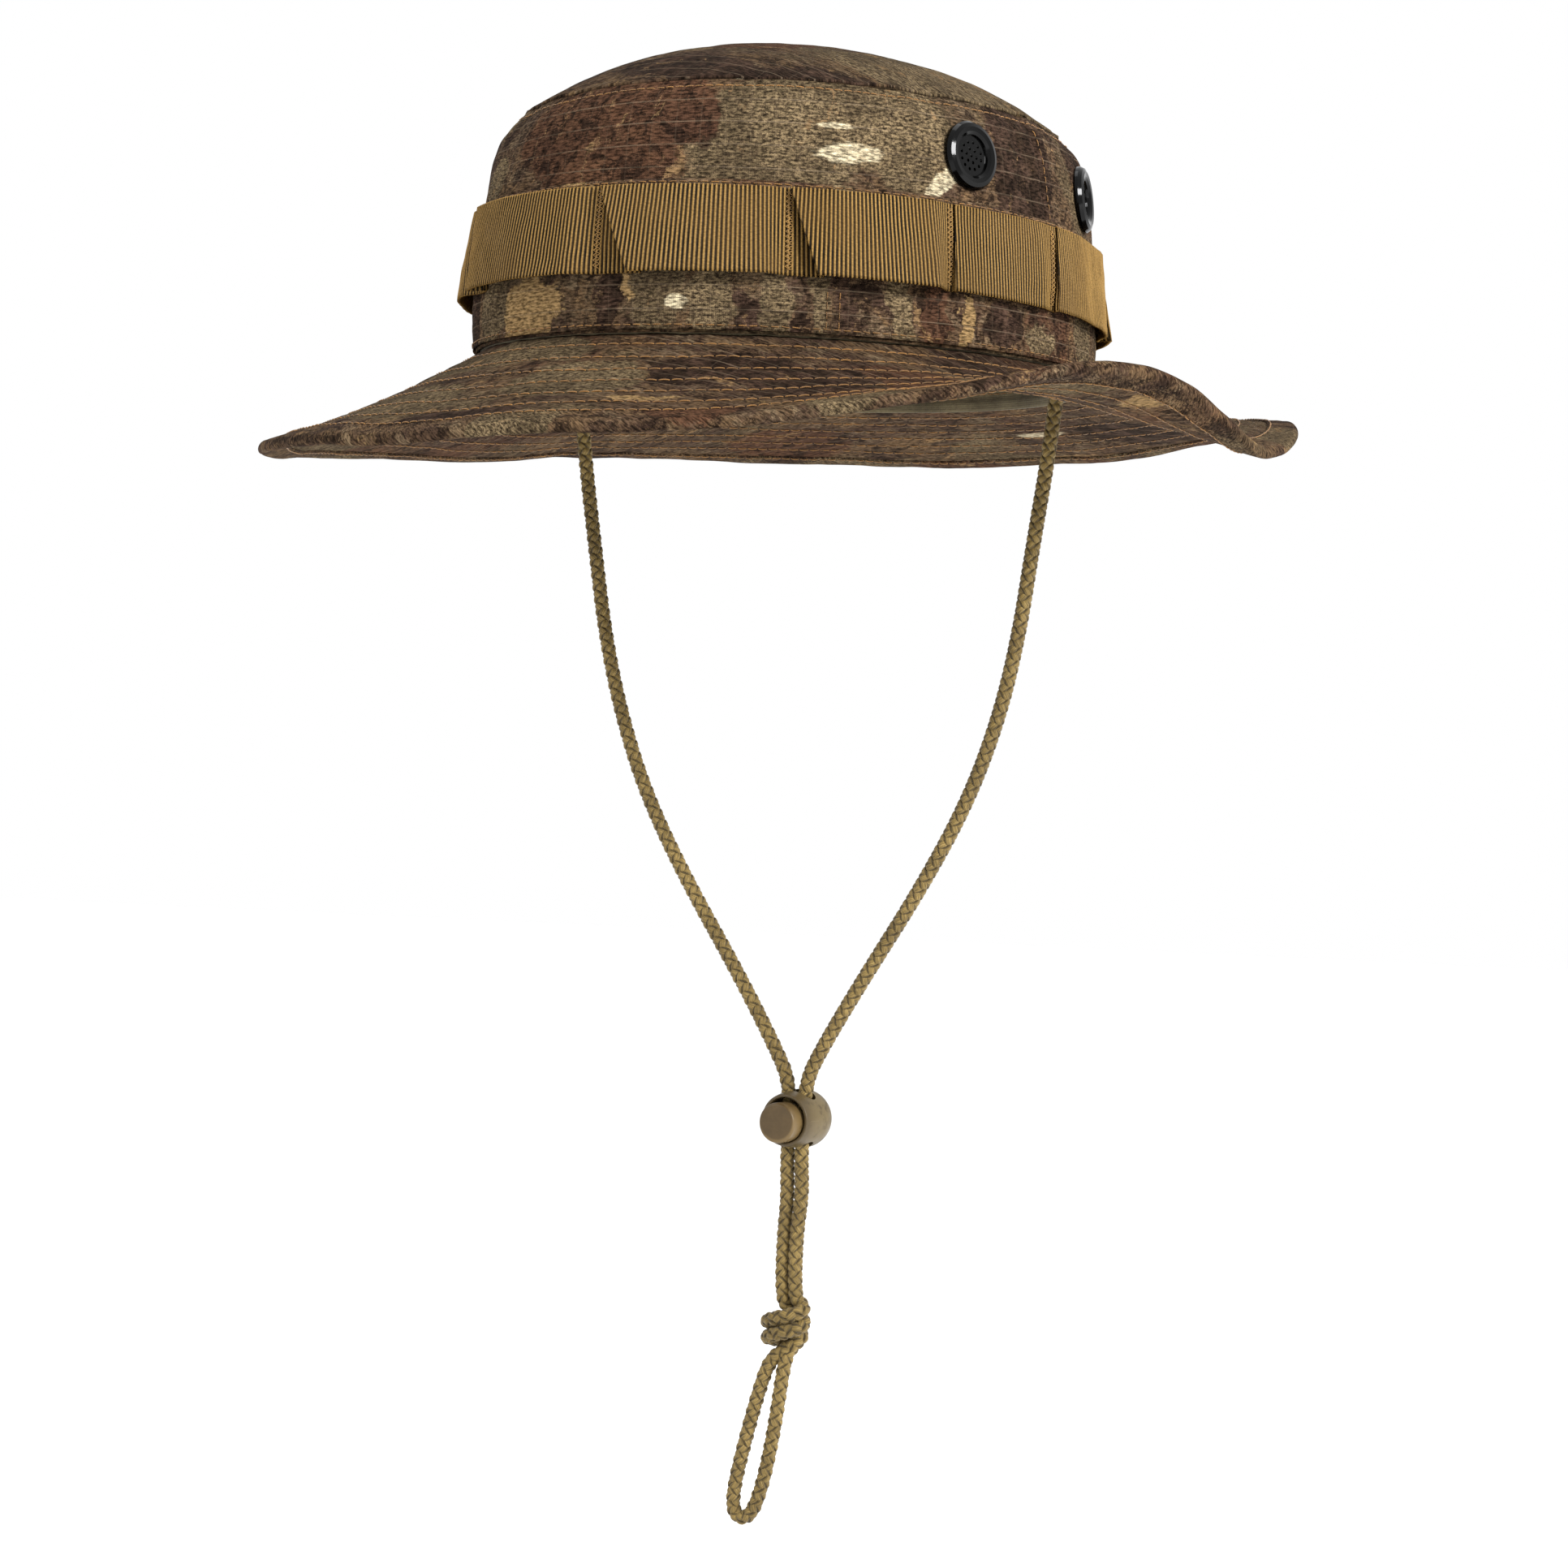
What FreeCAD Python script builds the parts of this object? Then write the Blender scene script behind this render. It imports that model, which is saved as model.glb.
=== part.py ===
"""Boonie hat: a soft sun hat with a loop webbing, four vents and a chin cord with a cord lock.

Millimetres, +Z up. The origin is the centre of the head opening, at the height of the seam that
joins crown and brim. The hat faces -Y and the wearer's left is +X. An angle round the hat is
counted in degrees from the front towards the wearer's left. An offset is the distance outside
the oval of the head opening.
"""
import FreeCAD
import Part
import math
import os

Vector = FreeCAD.Vector

# Head opening: an oval that the whole hat follows
OPENING_HALF_WIDTH = 84.0
OPENING_HALF_LENGTH = 106.0
RING_POINTS = 60
CLOTH = 0.8
LAYER_GAP = 0.1

# Crown side, as (height, offset of the outer face)
CROWN_PROFILE = [(0.0, 4.5), (10.0, 4.8), (25.0, 4.2), (45.0, 2.6), (60.0, 1.0), (68.0, -1.5),
                 (72.0, -4.5), (74.5, -7.5)]
CROWN_FOOT = 0.2
TOP_SEAM_HEIGHT = 74.5
SIDE_SEAM_GAP = 0.1

# Crown top: an oval panel that rises from the top seam
DOME_FOOT = TOP_SEAM_HEIGHT + LAYER_GAP
DOME_EDGE_OFFSET = -7.6
DOME_RISE = 21.5
DOME_POWER = 2.4
DOME_SCALES = [1.0, 0.96, 0.9, 0.8, 0.68, 0.54, 0.38, 0.2, 0.06]

# Bands round the crown
TAPE_WIDTH = 25.0
TAPE_THICKNESS = 1.0
TAPE_STANDOFF = 0.4
LOOP_BULGE = 7.3
BAND_ABOVE_TAPE = 2.0
SWEATBAND_TOP = 31.0
SWEATBAND_THICKNESS = 1.0
TACK_ANGLES = [-41.0, -1.4, 36.0, 67.0, 95.0, 124.0, 155.0, 190.0, 226.0, 262.0, 291.0]
TACK_WIDTH = 1.4
TACK_THICKNESS = 0.5
TACK_STANDOFF = 0.3
TACK_MARGIN = 1.5
LOOP_POINTS = 9
SEAM_TAPE_DROP = 3.0
SEAM_TAPE_THICKNESS = 0.8

# Brim: three layers with a bound edge, as (angle, height halfway out, height at the edge)
BRIM_INNER_OFFSET = 3.0
BRIM_WIDTH = 64.0
BRIM_SHAPE = [(0, -18.0, -33.5), (30, -16.5, -29.5), (48, -14.0, -20.5), (60, -12.0, -12.0),
              (72, -12.0, -8.0), (80, -13.0, -11.5), (87, -14.0, -18.5), (95, -14.0, -24.0),
              (104, -12.5, -20.5), (114, -10.0, -14.5), (127, -7.0, -9.0), (145, -5.5, -7.5),
              (180, -6.5, -12.5), (225, -6.5, -12.0), (260, -11.0, -19.0), (295, -14.0, -26.0),
              (320, -16.5, -32.0), (340, -18.0, -34.5)]
BRIM_STEPS = [0.0, 0.2, 0.4, 0.6, 0.75, 0.883, 1.0]
BRIM_TOP = -0.35
BRIM_CLOTH = 0.6
INTERLINING = 1.0
BINDING_CLOTH = 0.6
BINDING_INNER_STEP = 0.883

# Vents: a perforated cap outside and a washer inside, as name: (angle, height)
VENTS = {"left_front": (70.0, 57.0), "left_back": (110.0, 54.0),
         "right_front": (-72.0, 58.0), "right_back": (-110.0, 56.0)}
VENT_RADIUS = 10.2
VENT_HEIGHT = 2.5
VENT_RECESS_RADIUS = 6.2
VENT_BARREL_RADIUS = 6.0
VENT_BARREL_BORE = 5.4
VENT_BARREL_LENGTH = 3.8
VENT_GRILLE = 0.9
VENT_HOLE_RADIUS = 0.5
VENT_HOLE_RINGS = [(0.0, 1), (2.1, 6), (4.1, 12)]
VENT_WALL_HOLE = 6.4
WASHER_RADIUS = 8.6
WASHER_THICKNESS = 0.8
WASHER_STANDOFF = 2.0

# Care label, blank, inside the back of the sweatband
LABEL_HALF_WIDTH = 18.0
LABEL_BOTTOM = 7.0
LABEL_TOP = 25.0
LABEL_THICKNESS = 0.3

# Chin cord: one length of braided cord that hangs in the plane Y = CORD_Y
CORD_DIAMETER = 4.5
CORD_Y = 15.0
# route points as (x, z), from the hat to the knot and round the loop below the knot
CORD_LEFT = [(85.2, -5.5), (83.4, -22.0), (78.2, -54.0), (74.4, -80.0), (68.5, -105.0),
             (58.5, -131.0), (43.0, -158.0), (23.5, -187.0), (9.6, -209.0), (4.0, -220.0),
             (3.35, -244.0), (1.8, -287.5)]
CORD_RIGHT = [(-85.2, -5.5), (-83.4, -22.0), (-78.2, -54.0), (-73.8, -80.0), (-67.2, -105.0),
              (-57.0, -131.0), (-41.0, -158.0), (-20.8, -187.0), (-7.0, -209.0), (-0.9, -220.5),
              (-1.75, -244.0), (-2.8, -287.5)]
CORD_LOOP = [(-2.9, -302.5), (-9.0, -321.0), (-14.6, -341.0), (-17.6, -351.0), (-13.9, -354.8),
             (-8.8, -353.5), (-6.0, -343.0), (-3.0, -326.0), (1.9, -302.5)]
KNOT_CENTRE = (-0.5, CORD_Y, -295.0)
KNOT_RADIUS = 7.3
KNOT_HEIGHT = 15.0
KNOT_FILLET = 2.4

# Cord lock: an egg-shaped barrel on a level axis, with a sprung plunger that slides in it
LOCK_CENTRE = (1.22, CORD_Y, -231.0)
LOCK_LEAN = -1.8
BARREL_RADIUS = 9.2
BARREL_WIDEST = 3.9
BARREL_FRONT = 7.3
BARREL_FRONT_RADIUS = 8.0
BARREL_OUTLINE_STEPS = 6
BARREL_RIM_FILLET = 0.35
BORE_RADIUS = 7.05
BORE_BACK = 8.0
SPRING_POCKET_RADIUS = 4.9
SPRING_POCKET_BACK = 10.2
BODY_SLOT_WIDTH = 12.4
PLUNGER_SLOT_WIDTH = 10.2
SLOT_DEPTH = 5.2
PLUNGER_RADIUS = 6.25
PLUNGER_DROP = 0.6
PLUNGER_BACK = 3.6
PLUNGER_FRONT = 12.3
PLUNGER_FILLET = 0.8
PLUNGER_SLOT_BACK = 2.5
PLUNGER_SLOT_FRONT = 5.6
SPRING_RADIUS = 4.0
SPRING_WIRE = 0.6
SPRING_TURNS = 4
SPRING_END_GAP = 0.15


def around(table, angle, column):
    """Smooth value of a column of a table of (angle, ...) rows, periodic over 360 degrees."""
    rows = [(row[0] + turn, row[column]) for turn in (-360, 0, 360) for row in table]
    after = next(i for i, row in enumerate(rows) if row[0] > angle)
    (a0, v0), (a1, v1), (a2, v2), (a3, v3) = rows[after - 2:after + 2]
    span = a2 - a1
    t = (angle - a1) / span
    slope_in = (v2 - v0) / (a2 - a0) * span
    slope_out = (v3 - v1) / (a3 - a1) * span
    return ((2 * t**3 - 3 * t**2 + 1) * v1 + (t**3 - 2 * t**2 + t) * slope_in
            + (3 * t**2 - 2 * t**3) * v2 + (t**3 - t**2) * slope_out)


def oval(angle, offset, height):
    """Point at an offset outside the head opening's oval."""
    turn = math.radians(angle)
    x = (OPENING_HALF_WIDTH + offset) * math.sin(turn)
    y = -(OPENING_HALF_LENGTH + offset) * math.cos(turn)
    return Vector(x, y, height)


def ring_angles():
    return [360.0 * i / RING_POINTS for i in range(RING_POINTS)]


def closed_edge(points):
    curve = Part.BSplineCurve()
    curve.interpolate(Points=points, PeriodicFlag=True)
    return curve.toShape()


def solid_from(faces):
    """Closed solid from faces that share their edges, turned right side out."""
    shell = Part.Shell(faces)
    if not shell.isClosed():
        sewn = Part.Compound(faces)
        sewn.sewShape()
        shell = sewn.Shells[0]
    solid = Part.Solid(shell)
    if solid.Volume < 0:
        solid.reverse()
    return solid


def ring_solid(section):
    """Solid of a closed cross-section carried round the hat.

    section is a list of functions, one per corner, each from an angle to a point.
    """
    edges = [closed_edge([corner(angle) for angle in ring_angles()]) for corner in section]
    pairs = zip(edges, edges[1:] + edges[:1])
    return solid_from([Part.makeRuledSurface(first, second) for first, second in pairs])


def crown_offset(height):
    """Offset of the crown's outer face at a height, along straight runs of the profile."""
    for (z0, o0), (z1, o1) in zip(CROWN_PROFILE, CROWN_PROFILE[1:]):
        if height <= z1:
            return o0 + (o1 - o0) * (height - z0) / (z1 - z0)
    return CROWN_PROFILE[-1][1]


def crown_corner(height, outside):
    """Section corner beside the crown's outer face; height is a number or a function."""
    def corner(angle):
        z = height(angle) if callable(height) else height
        return oval(angle, crown_offset(z) + outside, z)
    return corner


def crown_layer(bottom, top, inside, outside):
    """Cloth layer on the crown between two heights and two distances from its outer face."""
    first = bottom if not callable(bottom) else bottom(0)
    last = top if not callable(top) else top(0)
    between = [z for z, offset in CROWN_PROFILE if first < z < min(last, TOP_SEAM_HEIGHT)]
    heights = [bottom] + between + [top]
    section = [crown_corner(z, outside) for z in heights]
    section += [crown_corner(z, inside) for z in reversed(heights)]
    return ring_solid(section)


def tape_bottom(angle):
    return 14.8 + 2.2 * math.cos(math.radians(angle - 20.0))


def tape_top(angle):
    return tape_bottom(angle) + TAPE_WIDTH


def band_top(angle):
    return tape_top(angle) + BAND_ABOVE_TAPE


def crown_halves():
    """Front and back panels of the crown side, with holes for the vents."""
    side = crown_layer(CROWN_FOOT, TOP_SEAM_HEIGHT, -CLOTH, 0.0)
    for angle, height in VENTS.values():
        side = side.cut(vent_place(Part.makeCylinder(VENT_WALL_HOLE, 30, Vector(0, 0, -15)),
                                   angle, height))
    reach = 200.0
    front = Part.makeBox(2 * reach, reach, reach, Vector(-reach, -reach - SIDE_SEAM_GAP, -10))
    back = Part.makeBox(2 * reach, reach, reach, Vector(-reach, SIDE_SEAM_GAP, -10))
    return side.common(front), side.common(back)


def crown_dome():
    """Domed oval panel: rings that shrink to a small flat patch at the top."""
    def dome_edge(scale, drop):
        height = DOME_FOOT + CLOTH - drop + DOME_RISE * (1 - scale**DOME_POWER)
        points = []
        for angle in ring_angles():
            point = oval(angle, DOME_EDGE_OFFSET, 0)
            points.append(Vector(point.x * scale, point.y * scale, height))
        return closed_edge(points)

    outer = [dome_edge(scale, 0.0) for scale in DOME_SCALES]
    inner = [dome_edge(scale, CLOTH) for scale in DOME_SCALES]
    chain = list(reversed(outer)) + inner
    faces = [Part.makeRuledSurface(a, b) for a, b in zip(chain, chain[1:])]
    faces += [Part.Face(Part.Wire([edge])) for edge in (outer[-1], inner[-1])]
    return solid_from(faces)


def loop_tape():
    """Webbing round the crown that stands off it in a loop between each two tacks."""
    stations = []
    starts = TACK_ANGLES
    ends = TACK_ANGLES[1:] + [TACK_ANGLES[0] + 360.0]
    for start, end in zip(starts, ends):
        for i in range(LOOP_POINTS):
            t = i / LOOP_POINTS
            bulge = LOOP_BULGE * min(1.0, 1.25 * math.sin(math.pi * t)) if i else 0.0
            stations.append((start + (end - start) * t, bulge))

    def tape_edge(height, outside):
        points = []
        for angle, bulge in stations:
            z = height(angle)
            points.append(oval(angle, crown_offset(z) + outside + bulge, z))
        return closed_edge(points)

    inside = CLOTH + LAYER_GAP + TAPE_STANDOFF
    outside = inside + TAPE_THICKNESS
    edges = [tape_edge(tape_bottom, inside), tape_edge(tape_bottom, outside),
             tape_edge(tape_top, outside), tape_edge(tape_top, inside)]
    pairs = zip(edges, edges[1:] + edges[:1])
    return solid_from([Part.makeRuledSurface(first, second) for first, second in pairs])


def loop_tacks():
    """Bars of thread that sew the webbing down between its loops."""
    face = CLOTH + LAYER_GAP + TAPE_STANDOFF + TAPE_THICKNESS + TACK_STANDOFF
    tacks = []
    for angle in TACK_ANGLES:
        half = math.degrees(TACK_WIDTH / 2 / OPENING_HALF_LENGTH)
        wires = []
        for z in (tape_bottom(angle) + TACK_MARGIN, tape_top(angle) - TACK_MARGIN):
            low = crown_offset(z) + face
            high = low + TACK_THICKNESS
            corners = [oval(angle - half, low, z), oval(angle + half, low, z),
                       oval(angle + half, high, z), oval(angle - half, high, z)]
            wires.append(Part.makePolygon(corners + corners[:1]))
        tacks.append(Part.makeLoft(wires, True, True))
    return Part.Compound(tacks)


def seam_tape():
    """Binding over the seam allowance, hanging inside the top seam."""
    outer = CROWN_PROFILE[-1][1] - CLOTH - 0.3
    inner = outer - SEAM_TAPE_THICKNESS
    top = TOP_SEAM_HEIGHT - LAYER_GAP
    bottom = top - SEAM_TAPE_DROP
    corners = [(inner, bottom), (outer, bottom), (outer, top), (inner, top)]
    return ring_solid([lambda angle, o=o, z=z: oval(angle, o, z) for o, z in corners])


def brim_height(angle, step):
    """Height of the brim at a fraction of its width: a parabola in each direction."""
    middle = around(BRIM_SHAPE, angle, 1)
    edge = around(BRIM_SHAPE, angle, 2)
    return (4 * middle - edge) * step + (2 * edge - 4 * middle) * step**2


def brim_corner(step, above):
    def corner(angle):
        return oval(angle, BRIM_INNER_OFFSET + BRIM_WIDTH * step,
                    BRIM_TOP + brim_height(angle, step) + above)
    return corner


def brim_layer(top, thickness):
    section = [brim_corner(step, top) for step in BRIM_STEPS]
    section += [brim_corner(step, top - thickness) for step in reversed(BRIM_STEPS)]
    return ring_solid(section)


def brim_binding():
    """Strip of cloth folded over the brim's edge."""
    top = LAYER_GAP
    bottom = -(2 * BRIM_CLOTH + INTERLINING + 3 * LAYER_GAP)
    inner = BINDING_INNER_STEP
    section = [brim_corner(inner, top), brim_corner(1.005, top),
               brim_corner(1.005, bottom), brim_corner(inner, bottom),
               brim_corner(inner, bottom - BINDING_CLOTH),
               brim_corner(1.015, bottom - BINDING_CLOTH),
               brim_corner(1.03, (top + bottom) / 2),
               brim_corner(1.015, top + BINDING_CLOTH),
               brim_corner(inner, top + BINDING_CLOTH)]
    return ring_solid(section)


def vent_place(shape, angle, height):
    """Move a shape from +Z up at the origin onto the crown's outer face, facing outward."""
    here = oval(angle, crown_offset(height), height)
    turn = math.radians(angle)
    across = Vector((OPENING_HALF_WIDTH * math.cos(turn)), OPENING_HALF_LENGTH * math.sin(turn), 0)
    up = oval(angle, crown_offset(height + 3), height + 3) - oval(
        angle, crown_offset(height - 3), height - 3)
    normal = across.cross(up)
    if normal.dot(Vector(here.x, here.y, 0)) < 0:
        normal = normal.negative()
    rotation = FreeCAD.Rotation(Vector(0, 0, 1), normal)
    moved = shape.copy()
    moved.Placement = FreeCAD.Placement(here, rotation).multiply(shape.Placement)
    return moved


def revolved(profile):
    """Solid of revolution about Z from a closed list of (radius, height)."""
    points = [Vector(radius, 0, height) for radius, height in profile]
    face = Part.Face(Part.makePolygon(points + points[:1]))
    return face.revolve(Vector(0, 0, 0), Vector(0, 0, 1), 360)


def vent_cap():
    """Domed ring with a sunken perforated grille and a barrel through the cloth."""
    back = 0.15
    top = back + VENT_HEIGHT
    profile = [(0, back), (VENT_BARREL_BORE, back), (VENT_BARREL_BORE, -VENT_BARREL_LENGTH),
               (VENT_BARREL_RADIUS, -VENT_BARREL_LENGTH), (VENT_BARREL_RADIUS, back),
               (VENT_RADIUS, back), (VENT_RADIUS, back + 0.9), (VENT_RADIUS - 0.7, top - 0.5),
               (VENT_RADIUS - 1.9, top), (VENT_RECESS_RADIUS + 0.8, top - 0.2),
               (VENT_RECESS_RADIUS, top - 0.9), (VENT_RECESS_RADIUS - 0.3, back + VENT_GRILLE),
               (0, back + VENT_GRILLE)]
    cap = revolved(profile)
    for radius, count in VENT_HOLE_RINGS:
        for i in range(count):
            turn = 2 * math.pi * i / count
            centre = Vector(radius * math.cos(turn), radius * math.sin(turn), -1)
            cap = cap.cut(Part.makeCylinder(VENT_HOLE_RADIUS, 4, centre))
    return cap


def vent_washer():
    """Flat ring that the barrel is rolled over, on the inside of the crown."""
    top = -WASHER_STANDOFF
    bore = VENT_BARREL_RADIUS + 0.1
    return revolved([(bore, top - WASHER_THICKNESS), (WASHER_RADIUS, top - WASHER_THICKNESS),
                     (WASHER_RADIUS, top), (bore, top)])


def care_label():
    """Blank label that follows the inside of the sweatband at the back."""
    face = -CLOTH - LAYER_GAP - SWEATBAND_THICKNESS - LAYER_GAP
    ring = crown_layer(LABEL_BOTTOM, LABEL_TOP, face - LABEL_THICKNESS, face)
    back = Part.makeBox(2 * LABEL_HALF_WIDTH, 80, 60, Vector(-LABEL_HALF_WIDTH, 60, -5))
    return ring.common(back)


def cord_tube(route, name):
    """Tube along straight runs joined by tangent arcs, each as large as its two runs allow."""
    points = [Vector(x, CORD_Y, z) for x, z in route]
    edges = []
    radii = []
    here = points[0]
    for before, corner, after in zip(points, points[1:], points[2:]):
        run_in = corner - before
        run_out = after - corner
        turn = run_in.getAngle(run_out)
        shorter = min(run_in.Length, run_out.Length)
        tangent = 0.45 * shorter
        radius = tangent / math.tan(turn / 2)
        run_in.normalize()
        run_out.normalize()
        start = corner - run_in * tangent
        end = corner + run_out * tangent
        inward = (run_out - run_in).normalize()
        centre = corner + inward * (radius / math.cos(turn / 2))
        middle = centre - inward * radius
        edges.append(Part.LineSegment(here, start).toShape())
        edges.append(Part.Arc(start, middle, end).toShape())
        radii.append(round(radius, 1))
        here = end
    edges.append(Part.LineSegment(here, points[-1]).toShape())
    path = Part.Wire(edges)
    section = Part.Wire([Part.Circle(points[0], points[1] - points[0],
                                     CORD_DIAMETER / 2).toShape()])
    tube = path.makePipeShell([section], True, False)
    expected = math.pi * CORD_DIAMETER**2 / 4 * path.Length
    print(name, "length", round(path.Length, 1), "volume ratio",
          round(tube.Volume / expected, 4), "radii", radii)
    return tube


def cord_knot():
    """Outer shape of the doubled overhand knot."""
    x, y, z = KNOT_CENTRE
    body = Part.makeCylinder(KNOT_RADIUS, KNOT_HEIGHT, Vector(x, y, z - KNOT_HEIGHT / 2))
    rims = [edge for edge in body.Edges if edge.Length > 3 * KNOT_RADIUS]
    return body.makeFillet(KNOT_FILLET, rims)


def lock_place(shape):
    """Move a shape from the lock's own frame: +Y towards the back, +Z up the cords."""
    moved = shape.copy()
    lean = FreeCAD.Rotation(Vector(0, 1, 0), -LOCK_LEAN)
    moved.Placement = FreeCAD.Placement(Vector(*LOCK_CENTRE), lean).multiply(shape.Placement)
    return moved


def along_y(radius, start, end):
    return Part.makeCylinder(radius, end - start, Vector(0, start, 0), Vector(0, 1, 0))


def rim_edges(shape, places):
    """Round edges of a shape that lie wholly at one of the given places along Y."""
    return [edge for edge in shape.Edges
            if any(abs(edge.BoundBox.YMin - y) < 0.01 and abs(edge.BoundBox.YMax - y) < 0.01
                   for y in places)]


def slot_cutter(width, front, back):
    """Upright slot with rounded ends that the two cords pass through side by side."""
    depth = back - front
    straight = width - depth
    cutter = Part.makeBox(straight, depth, 30, Vector(-straight / 2, front, -15))
    for x in (-straight / 2, straight / 2):
        cutter = cutter.fuse(Part.makeCylinder(depth / 2, 30, Vector(x, (front + back) / 2, -15)))
    return cutter


def barrel_outline():
    """Points (radius, y) from the round back of the barrel to its front rim.

    The back is a half sphere. The front narrows as an ellipse to the rim.
    """
    reach = BARREL_FRONT + BARREL_WIDEST
    squash = math.sqrt(1 - (BARREL_FRONT_RADIUS / BARREL_RADIUS)**2)
    points = []
    for i in range(BARREL_OUTLINE_STEPS):
        turn = math.pi / 2 * i / BARREL_OUTLINE_STEPS
        points.append((BARREL_RADIUS * math.sin(turn),
                       BARREL_WIDEST + BARREL_RADIUS * math.cos(turn)))
    for i in range(BARREL_OUTLINE_STEPS + 1):
        ahead = i / BARREL_OUTLINE_STEPS
        points.append((BARREL_RADIUS * math.sqrt(1 - (ahead * squash)**2),
                       BARREL_WIDEST - reach * ahead))
    return points


def lock_barrel():
    """Barrel with a blind bore from the front and a slot down through it for both cords."""
    outline = [Vector(radius, y, 0) for radius, y in barrel_outline()]
    curve = Part.BSplineCurve()
    curve.interpolate(Points=outline)
    back, rim = outline[0], outline[-1]
    front = Vector(0, rim.y, 0)
    section = Part.Wire([curve.toShape(), Part.makeLine(rim, front), Part.makeLine(front, back)])
    barrel = Part.Face(section).revolve(Vector(0, 0, 0), Vector(0, 1, 0), 360)
    barrel = barrel.cut(along_y(BORE_RADIUS, -BARREL_FRONT - 1, BORE_BACK))
    barrel = barrel.cut(along_y(SPRING_POCKET_RADIUS, BORE_BACK - 1, SPRING_POCKET_BACK))
    barrel = barrel.makeFillet(BARREL_RIM_FILLET, rim_edges(barrel, (-BARREL_FRONT,)))
    return barrel.cut(slot_cutter(BODY_SLOT_WIDTH, -SLOT_DEPTH / 2, SLOT_DEPTH / 2))


def lock_plunger():
    """Button and plunger in one piece, with a cross slot that the cords pass through."""
    plunger = along_y(PLUNGER_RADIUS, -PLUNGER_FRONT, PLUNGER_BACK)
    plunger = plunger.makeFillet(PLUNGER_FILLET, rim_edges(plunger, (-PLUNGER_FRONT,)))
    slot = Part.makeBox(PLUNGER_SLOT_WIDTH, PLUNGER_SLOT_FRONT + PLUNGER_SLOT_BACK, 30,
                        Vector(-PLUNGER_SLOT_WIDTH / 2, -PLUNGER_SLOT_FRONT, -15))
    return plunger.cut(slot).translated(Vector(0, 0, -PLUNGER_DROP))


def lock_spring():
    """Compression spring between the plunger and the closed end of the bore."""
    start = PLUNGER_BACK + SPRING_WIRE / 2 + SPRING_END_GAP
    end = SPRING_POCKET_BACK - SPRING_WIRE / 2 - SPRING_END_GAP
    length = end - start
    helix = Part.makeHelix(length / SPRING_TURNS, length, SPRING_RADIUS)
    section = Part.Wire([Part.Circle(Vector(SPRING_RADIUS, 0, 0), Vector(0, 1, 0),
                                     SPRING_WIRE / 2).toShape()])
    coil = Part.Wire(helix.Edges).makePipeShell([section], True, True)
    coil.Placement = FreeCAD.Placement(Vector(0, start, 0),
                                       FreeCAD.Rotation(Vector(1, 0, 0), -90))
    return coil


def build():
    shapes = {}
    shapes["crown_side_front"], shapes["crown_side_back"] = crown_halves()
    shapes["crown_top"] = crown_dome()
    shapes["crown_band"] = crown_layer(1.0, band_top, LAYER_GAP, LAYER_GAP + CLOTH)
    shapes["crown_seam_tape"] = seam_tape()
    inner = -CLOTH - LAYER_GAP
    shapes["sweatband"] = crown_layer(1.0, SWEATBAND_TOP, inner - SWEATBAND_THICKNESS, inner)
    shapes["care_label"] = care_label()
    below_cloth = -BRIM_CLOTH - LAYER_GAP
    shapes["brim_upper"] = brim_layer(0.0, BRIM_CLOTH)
    shapes["brim_interlining"] = brim_layer(below_cloth, INTERLINING)
    shapes["brim_lower"] = brim_layer(below_cloth - INTERLINING - LAYER_GAP, BRIM_CLOTH)
    shapes["brim_binding"] = brim_binding()
    shapes["loop_webbing"] = loop_tape()
    shapes["webbing_tacks"] = loop_tacks()
    for name, (angle, height) in VENTS.items():
        shapes["vent_cap_" + name] = vent_place(vent_cap(), angle, height)
        shapes["vent_washer_" + name] = vent_place(vent_washer(), angle, height)
    shapes["chin_cord_left"] = cord_tube(CORD_LEFT, "chin_cord_left")
    shapes["chin_cord_right"] = cord_tube(CORD_RIGHT, "chin_cord_right")
    shapes["chin_cord_loop"] = cord_tube(CORD_LOOP, "chin_cord_loop")
    shapes["chin_cord_knot"] = cord_knot()
    shapes["lock_body"] = lock_place(lock_barrel())
    shapes["lock_plunger"] = lock_place(lock_plunger())
    shapes["lock_spring"] = lock_place(lock_spring())
    return shapes


def main():
    os.makedirs("parts", exist_ok=True)
    for name, shape in build().items():
        print(name, "solids", len(shape.Solids), "valid", shape.isValid(),
              "volume", round(shape.Volume, 1))
        shape.exportStep("parts/" + name + ".step")


main()
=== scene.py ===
"""Boonie hat: the looks of a soft camouflage sun hat with a chin cord.

Metres, +Z up. The origin is the centre of the head opening, at the seam that joins crown and
brim. The hat faces -Y and the wearer's left is +X. An angle round the hat is in degrees from the
front towards the wearer's left. An offset is the distance outside the oval of the head opening.
"""
import math

import bpy
import numpy as np
from mathutils import Matrix, Vector, noise


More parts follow.
